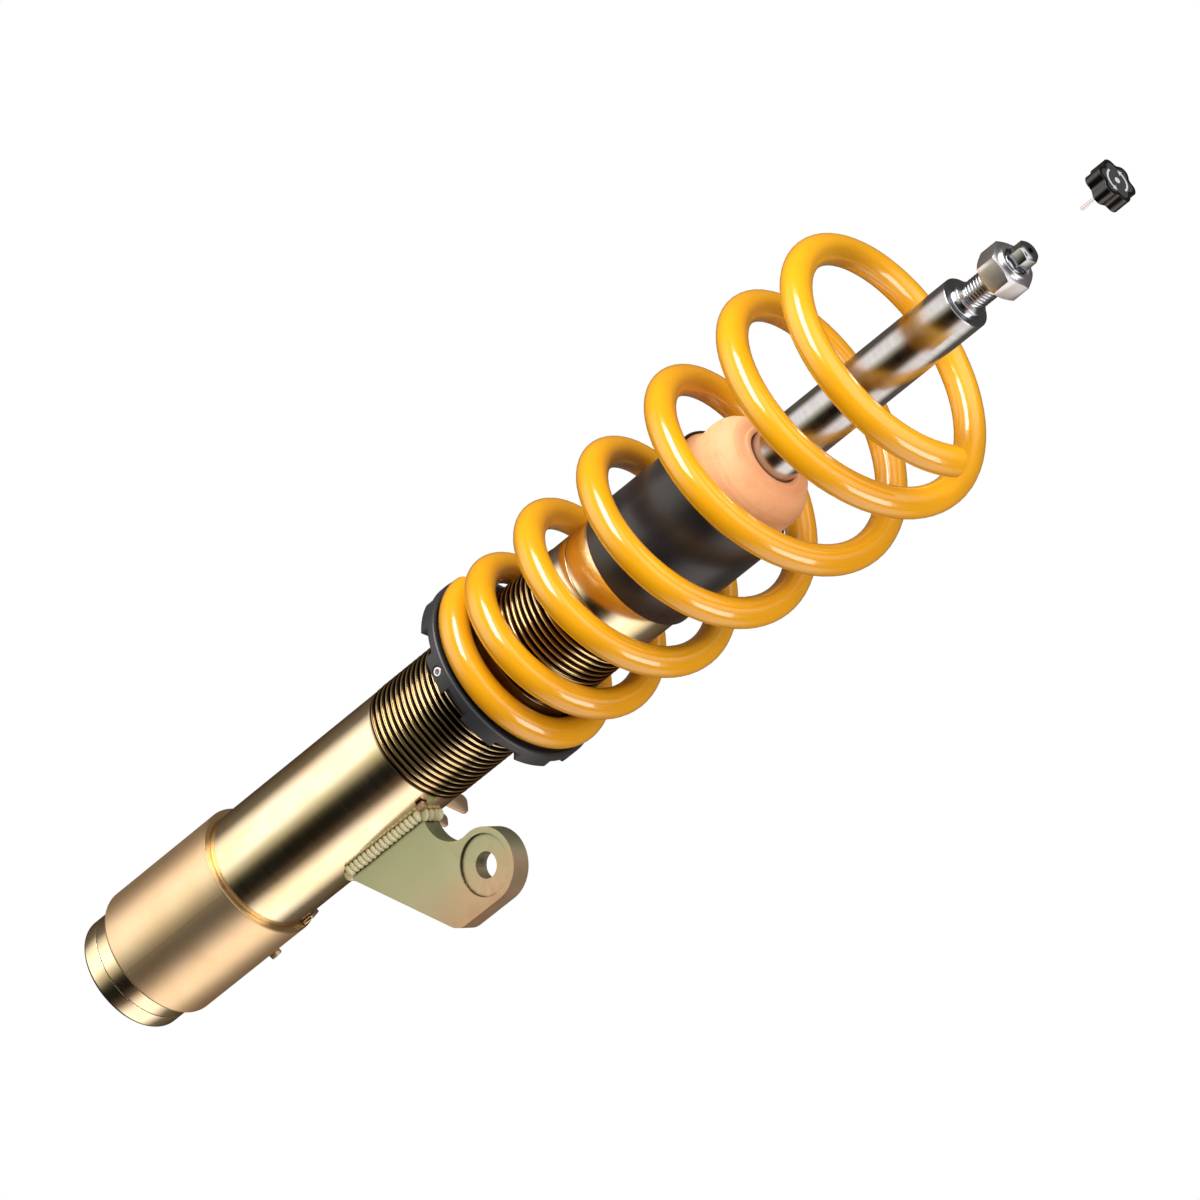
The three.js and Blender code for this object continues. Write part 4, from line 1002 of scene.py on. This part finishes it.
class COILOVER_OT_spring(bpy.types.Operator):
    """Builds the coil spring as one wire that closes up as the rod goes in"""

    bl_idname = "coilover.spring"
    bl_label = "Coil spring"

    def execute(self, context):
        settings = context.scene.coilover_spring
        last = COIL_HEIGHTS[-1][0]
        turns = np.linspace(0, last, round(last * settings.steps) + 1)
        # The wire's ends are sawn square with a broken edge: extra rings close to each end draw it.
        edge = 0.9 * MM / (2 * math.pi * 40 * MM)
        turns = np.concatenate(([0, edge * 0.35], turns[1:-1], [last - edge * 0.35, last]))
        scales = np.ones(len(turns))
        scales[0] = scales[-1] = 0.9
        scales[1] = scales[-2] = 0.97
        heights = [through(COIL_HEIGHTS, t) for t in turns]
        radii = [through(COIL_RADII, t) for t in turns]
        angles = [math.radians(COIL_START + 360 * t) for t in turns]
        path = [(r * math.cos(a), r * math.sin(a), z) for r, a, z in zip(radii, angles, heights)]
        mesh = sweep_tree().apply(
            "wire", path_mesh("path", mm(path), scales, {"turn": turns}), "amber_powder_coat",
            Radius=settings.wire_radius, Sides=settings.sides)
        spring = add_object("coil_spring_wire", mesh, "amber_powder_coat")
        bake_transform(spring, "lower_seat", "spring_top", start=(0, 0, 242 * MM), end=(0, 0, 450 * MM))
        self.weigh(mesh, settings)
        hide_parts("coil_spring", "spring_end_coil")
        return {"FINISHED"}

    def weigh(self, mesh, settings):
        """One share of the travel for each ring of wire, so that its section stays round. The end
        coil on the seat is dead: it doesn't close, so the first two turns never meet. The turns
        above it close in proportion to the gap over them."""
        table = np.linspace(0, END_COIL_FROM, 400)
        heights = np.array([through(COIL_HEIGHTS, t) for t in table])
        free = np.maximum(np.gradient(heights, table) - 2 * settings.wire_radius / MM, 0)
        free[table < DEAD_TURNS] = 0
        share = np.concatenate(([0], np.cumsum((free[1:] + free[:-1]) / 2 * np.diff(table))))
        share /= share[-1]
        turns = np.empty(len(mesh.vertices), np.float32)
        mesh.attributes["turn"].data.foreach_get("value", turns)
        weights = np.interp(turns, table, share).astype(np.float32)
        mesh.attributes["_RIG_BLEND"].data.foreach_set("value", weights)


# ---------------------------------------------------------------- boot, bump stop, rod and knob

class COILOVER_OT_boot(bpy.types.Operator):
    """Builds the dust boot and the bump stop"""

    bl_idname = "coilover.boot"
    bl_label = "Boot and bump stop"

    def execute(self, context):
        boot = lathe("boot", mm([(26.5, 312.4), (27.5, 312.4), (27.5, 365.8), (26.5, 365.8)]),
                     160, 0.42 * MM)
        place(add_object("dust_boot_shell", boot, "boot_plastic"), "boot_and_stop", "dust_boot")
        foam = lathe("foam", mm([
            (11.35, 320.3), (26.2, 320.3), (26.2, 365.9), (25, 367.2), (23.8, 369.2), (23.6, 371),
            (24.1, 374), (24.3, 377.5), (24.1, 380.5), (23.2, 383), (21.6, 385.2), (20, 387.2),
            (19, 388.6),
            (17, 389.3), (14.2, 389.5), (13.8, 390), (13.4, 390.5), (11.35, 390.5)]), 160, 0.9 * MM)
        place(add_object("bump_stop_foam", foam, "cellular_foam"), "boot_and_stop", "bump_stop")
        return {"FINISHED"}


HEX_TURN = 14.7


class COILOVER_OT_rod(bpy.types.Operator):
    """Builds the piston rod, its thread and hex tip, and the top nut"""

    bl_idname = "coilover.rod"
    bl_label = "Rod and nut"

    def execute(self, context):
        settings = context.scene.coilover_rod
        shaft = lathe("shaft", mm([
            (0, 221.5), (6, 221.5), (6, 256.5), (11, 256.5), (11, 499), (7.5, 499), (7.5, 502.1),
            (5.2, 503.2),
            (5.2, 526.9), (4.2, 527.8), (0, 527.8)]), 96, 0.5 * MM)
        thread = thread_mesh("m12", "hard_chrome", 5.95 * MM, 0.95 * MM, settings.pitch, 5.2 * MM,
                             503 * MM, 526.9 * MM, 72)
        tip = prism("tip", mm(polygon(6, 9, HEX_TURN)), 527.5 * MM, 535 * MM)
        cone = lathe("cone", mm([(0, 527), (6, 527), (6, 533.4), (3.4, 535), (0, 535)]), 48, 0)
        tip = boolean(tip, cone, "INTERSECT")
        tip = bevelled(tip, 0.2 * MM, 2)
        bore = [bar(2.3, 238, 530, 32), bar(1.25, 529, 540, 32)]
        rod = joined("rod", [cut(shaft, bore), thread, cut(tip, bore)])
        place(add_object("piston_rod_body", rod, "hard_chrome"), "rod", "piston_rod")
        nut = prism("nut", mm(polygon(6, 19, HEX_TURN)), 515.7 * MM, 525.7 * MM)
        cone = lathe("cone", mm([
            (0, 515.7), (9.5, 515.7), (11.1, 516.65), (11.1, 524.75), (9.5, 525.7), (0, 525.7)]), 96, 0)
        nut = boolean(nut, cone, "INTERSECT")
        nut = bevelled(cut(nut, [bar(6.05, 510, 530, 48)]), 0.18 * MM, 2)
        ring = lathe("ring", mm([(6.05, 524.5), (7.6, 524.5), (7.6, 527.5), (6.05, 527.5)]), 64, 0.35 * MM)
        place(add_object("top_nut_body", joined("nut", [nut, ring]), "bright_zinc"), "rod", "top_nut")
        return {"FINISHED"}


def knob_outline(inset, lobes):
    steps = lobes * 24
    angles = [2 * math.pi * i / steps for i in range(steps)]
    radii = [9.4 - inset - 1.7 * (0.5 - 0.5 * math.cos(lobes * a)) ** 1.4 for a in angles]
    return [(r * math.cos(a), r * math.sin(a)) for r, a in zip(radii, angles)]


class COILOVER_OT_knob(bpy.types.Operator):
    """Builds the damping adjuster knob and its stem"""

    bl_idname = "coilover.knob"
    bl_label = "Adjuster knob"

    def execute(self, context):
        settings = context.scene.coilover_rod
        body = prism("knob", mm(knob_outline(0, settings.lobes)), 575 * MM, 582.5 * MM)
        body = cut(body, [bar(1.15, 570, 579.5, 24)])
        knob = add_object("adjuster_knob_body", bevelled(body, 0.7 * MM, 4, 50), "knob_plastic")
        place(knob, "knob", "adjuster_knob")
        face = prism("face", mm(knob_outline(1.7, settings.lobes)), 582.4 * MM, 582.56 * MM)
        place(add_object("adjuster_knob_face", face, "knob_face"), "knob")
        marks = []
        for start in (20, 200):
            sweep = arc(0, 0, 5.4, start, start + 105, 20) + arc(0, 0, 4.5, start + 105, start, 20)
            marks.append(prism("mark", mm(sweep), 582.5 * MM, 582.6 * MM))
            head = [(4.95 + r, s) for r, s in ((-1.3, 0), (1.3, 0), (0, 1.9))]
            marks.append(rotate_z(prism("head", mm(head), 582.5 * MM, 582.6 * MM), start + 105))
        marks.append(lathe("dot", mm([(0, 582.5), (1.3, 582.5), (1.3, 582.6), (0, 582.6)]), 32, 0))
        place(add_object("adjuster_knob_marks", joined("marks", marks), "knob_ink"), "knob")
        stem = bevelled(prism("stem", mm(polygon(6, 1.5)), 563 * MM, 579 * MM), 0.12 * MM, 2)
        place(add_object("knob_stem_bar", stem, "bright_zinc"), "knob", "knob_stem")
        return {"FINISHED"}


class COILOVER_OT_inside(bpy.types.Operator):
    """Gives the pieces inside the damper their machined surfaces"""

    bl_idname = "coilover.inside"
    bl_label = "Inner pieces"

    def execute(self, context):
        for name, node in frame["nodes"].items():
            if not node.hide_render:
                node.data.materials.clear()
                node.data.materials.append(material(SLOTS[name]))
        return {"FINISHED"}


# ---------------------------------------------------------------- stage

VIEW_RIGHT = Vector((0.4040, 0.6400, 0.6533))
VIEW_UP = Vector((-0.8502, 0.0, 0.5260))
VIEW_BACK = Vector((0.3366, -0.7680, 0.5446))
LOOK_AT = Vector((0.39, -0.43, 287.25)) * MM
FRONT_X, FRONT_Y = 0.4013, -0.9160


def studio_world():
    """White to the camera. To reflections it is a studio: soft boxes on both sides of the camera,
    a dark gap between them and a dark room behind, with a pale ceiling."""
    world = bpy.data.worlds.new("studio")
    bpy.context.scene.world = world
    world.use_nodes = True
    tree = world.node_tree
    tree.nodes.clear()
    way = add_node(tree, "ShaderNodeSeparateXYZ", {
        0: add_node(tree, "ShaderNodeTexCoord").outputs["Generated"]}).outputs

    def axis(x_share, y_share):
        along_x = add_node(tree, "ShaderNodeMath", {0: way[0], 1: x_share},
                           operation="MULTIPLY").outputs[0]
        return add_node(tree, "ShaderNodeMath", {0: way[1], 1: y_share, 2: along_x},
                        operation="MULTIPLY_ADD").outputs[0]
    ahead, aside = axis(FRONT_X, FRONT_Y), axis(-FRONT_Y, FRONT_X)
    angle = add_node(tree, "ShaderNodeMath", {0: aside, 1: ahead}, operation="ARCTAN2").outputs[0]
    share = remap(tree, angle, 0, 1, -math.pi, math.pi)
    around = ramp(tree, share, [
        (0.0, "#4d463f"), (0.2, "#5c544a"), (0.27, "#fff2ec"), (0.375, "#fffbee"), (0.425, "#a59c86"),
        (0.463, "#3c392c"), (0.49, "#0c0b08"), (0.545, "#0e0b08"), (0.59, "#4c3d30"), (0.65, "#fff0e6"),
        (0.74, "#fff6ec"), (0.81, "#5a5148"), (1.0, "#4d463f")])

    def band(low, high):
        return add_node(tree, "ShaderNodeMapRange", {0: way[2], 1: low, 2: high, 3: 0.0, 4: 1.0},
                        interpolation_type="SMOOTHSTEP").outputs[0]
    pattern = mix_colour(tree, band(-0.12, 0.12), around, colour("#45423f"))
    pattern = mix_colour(tree, band(0.7, 0.9), pattern, colour("#ffffff"))
    pattern = mix_colour(tree, band(-0.76, -0.92), pattern, colour("#1c1a17"))
    lit = add_node(tree, "ShaderNodeBackground", {"Color": pattern, "Strength": 1.5}).outputs[0]
    white = add_node(tree, "ShaderNodeBackground", {
        "Color": colour("#ffffff"), "Strength": 1.0}).outputs[0]
    camera_ray = add_node(tree, "ShaderNodeLightPath").outputs["Is Camera Ray"]
    both = add_node(tree, "ShaderNodeMixShader", {0: camera_ray, 1: lit, 2: white}).outputs[0]
    add_node(tree, "ShaderNodeOutputWorld", {"Surface": both})


def floor_material():
    """Seamless pale paper, lit evenly enough to read as white."""
    result, tree = blank_material("seamless_pale_paper")
    glow = add_node(tree, "ShaderNodeEmission", {"Color": colour("#ffffff"), "Strength": 1.0}).outputs[0]
    add_node(tree, "ShaderNodeOutputMaterial", {"Surface": glow})
    return result


def soft_box(name, direction, distance, size, power):
    """A rectangular soft light that faces the middle of the strut."""
    light = bpy.data.lights.new(name, "AREA")
    light.shape, light.size, light.size_y, light.energy = "RECTANGLE", *size, power
    box = bpy.data.objects.new(name, light)
    bpy.context.scene.collection.objects.link(box)
    towards = Vector(direction).normalized()
    box.location = LOOK_AT + towards * distance
    box.rotation_euler = towards.to_track_quat("Z", "Y").to_euler()


class COILOVER_OT_stage(bpy.types.Operator):
    """Builds the camera with its view down the strut's length, the soft light and the pale floor"""

    bl_idname = "coilover.stage"
    bl_label = "Camera, light and floor"

    def execute(self, context):
        settings = context.scene.coilover_stage
        scene = context.scene
        scene.view_settings.view_transform = "Standard"
        lens = bpy.data.cameras.new("camera")
        lens.lens = settings.focal
        lens.sensor_width = 36
        camera = bpy.data.objects.new("camera", lens)
        scene.collection.objects.link(camera)
        basis = Matrix((VIEW_RIGHT, VIEW_UP, VIEW_BACK)).transposed()
        camera.matrix_world = Matrix.Translation(LOOK_AT + VIEW_BACK * settings.distance) @ basis.to_4x4()
        scene.camera = camera
        studio_world()
        floor = bpy.data.objects.new("floor", mesh_from(
            "floor", [(-8, -8, 0), (8, -8, 0), (8, 8, 0), (-8, 8, 0)], [[0, 1, 2, 3]]))
        floor.data.materials.append(floor_material())
        floor.location.z = -settings.floor_drop
        floor.visible_glossy = floor.visible_diffuse = floor.visible_shadow = False
        scene.collection.objects.link(floor)
        soft_box("key_box", VIEW_UP * 0.9 + VIEW_BACK * 0.6 - VIEW_RIGHT * 0.25, 1.1, (0.9, 0.35), 15)
        soft_box("fill_box", VIEW_BACK * 0.7 + VIEW_RIGHT * 0.8 - VIEW_UP * 0.5, 1.4, (0.8, 0.6), 9)
        return {"FINISHED"}


# ---------------------------------------------------------------- add-on

OPERATORS = (COILOVER_OT_tube, COILOVER_OT_bracket, COILOVER_OT_collar, COILOVER_OT_spring,
             COILOVER_OT_boot, COILOVER_OT_rod, COILOVER_OT_knob, COILOVER_OT_inside, COILOVER_OT_stage)
SETTINGS = {"coilover_tube": TubeSettings, "coilover_bracket": BracketSettings,
            "coilover_spring": SpringSettings, "coilover_rod": RodSettings,
            "coilover_stage": StageSettings}


class COILOVER_PT_panel(bpy.types.Panel):
    """Sizes and build steps of the coilover strut"""

    bl_idname = "COILOVER_PT_panel"
    bl_label = "Coilover"
    bl_space_type = "VIEW_3D"
    bl_region_type = "UI"
    bl_category = "Coilover"

    def draw(self, context):
        for operator in OPERATORS:
            self.layout.operator(operator.bl_idname)
        for name, group in SETTINGS.items():
            box = self.layout.box()
            box.label(text=group.__doc__.rstrip("."))
            for key in group.__annotations__:
                box.prop(getattr(context.scene, name), key)


def register():
    for cls in (*SETTINGS.values(), *OPERATORS, COILOVER_PT_panel):
        bpy.utils.register_class(cls)
    for name, group in SETTINGS.items():
        setattr(bpy.types.Scene, name, bpy.props.PointerProperty(type=group))


def unregister():
    for name in SETTINGS:
        delattr(bpy.types.Scene, name)
    for cls in reversed((*SETTINGS.values(), *OPERATORS, COILOVER_PT_panel)):
        bpy.utils.unregister_class(cls)


def main():
    register()
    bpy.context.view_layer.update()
    for operator in OPERATORS:
        group, name = operator.bl_idname.split(".")
        getattr(getattr(bpy.ops, group), name)()


if __name__ == "__main__":
    main()
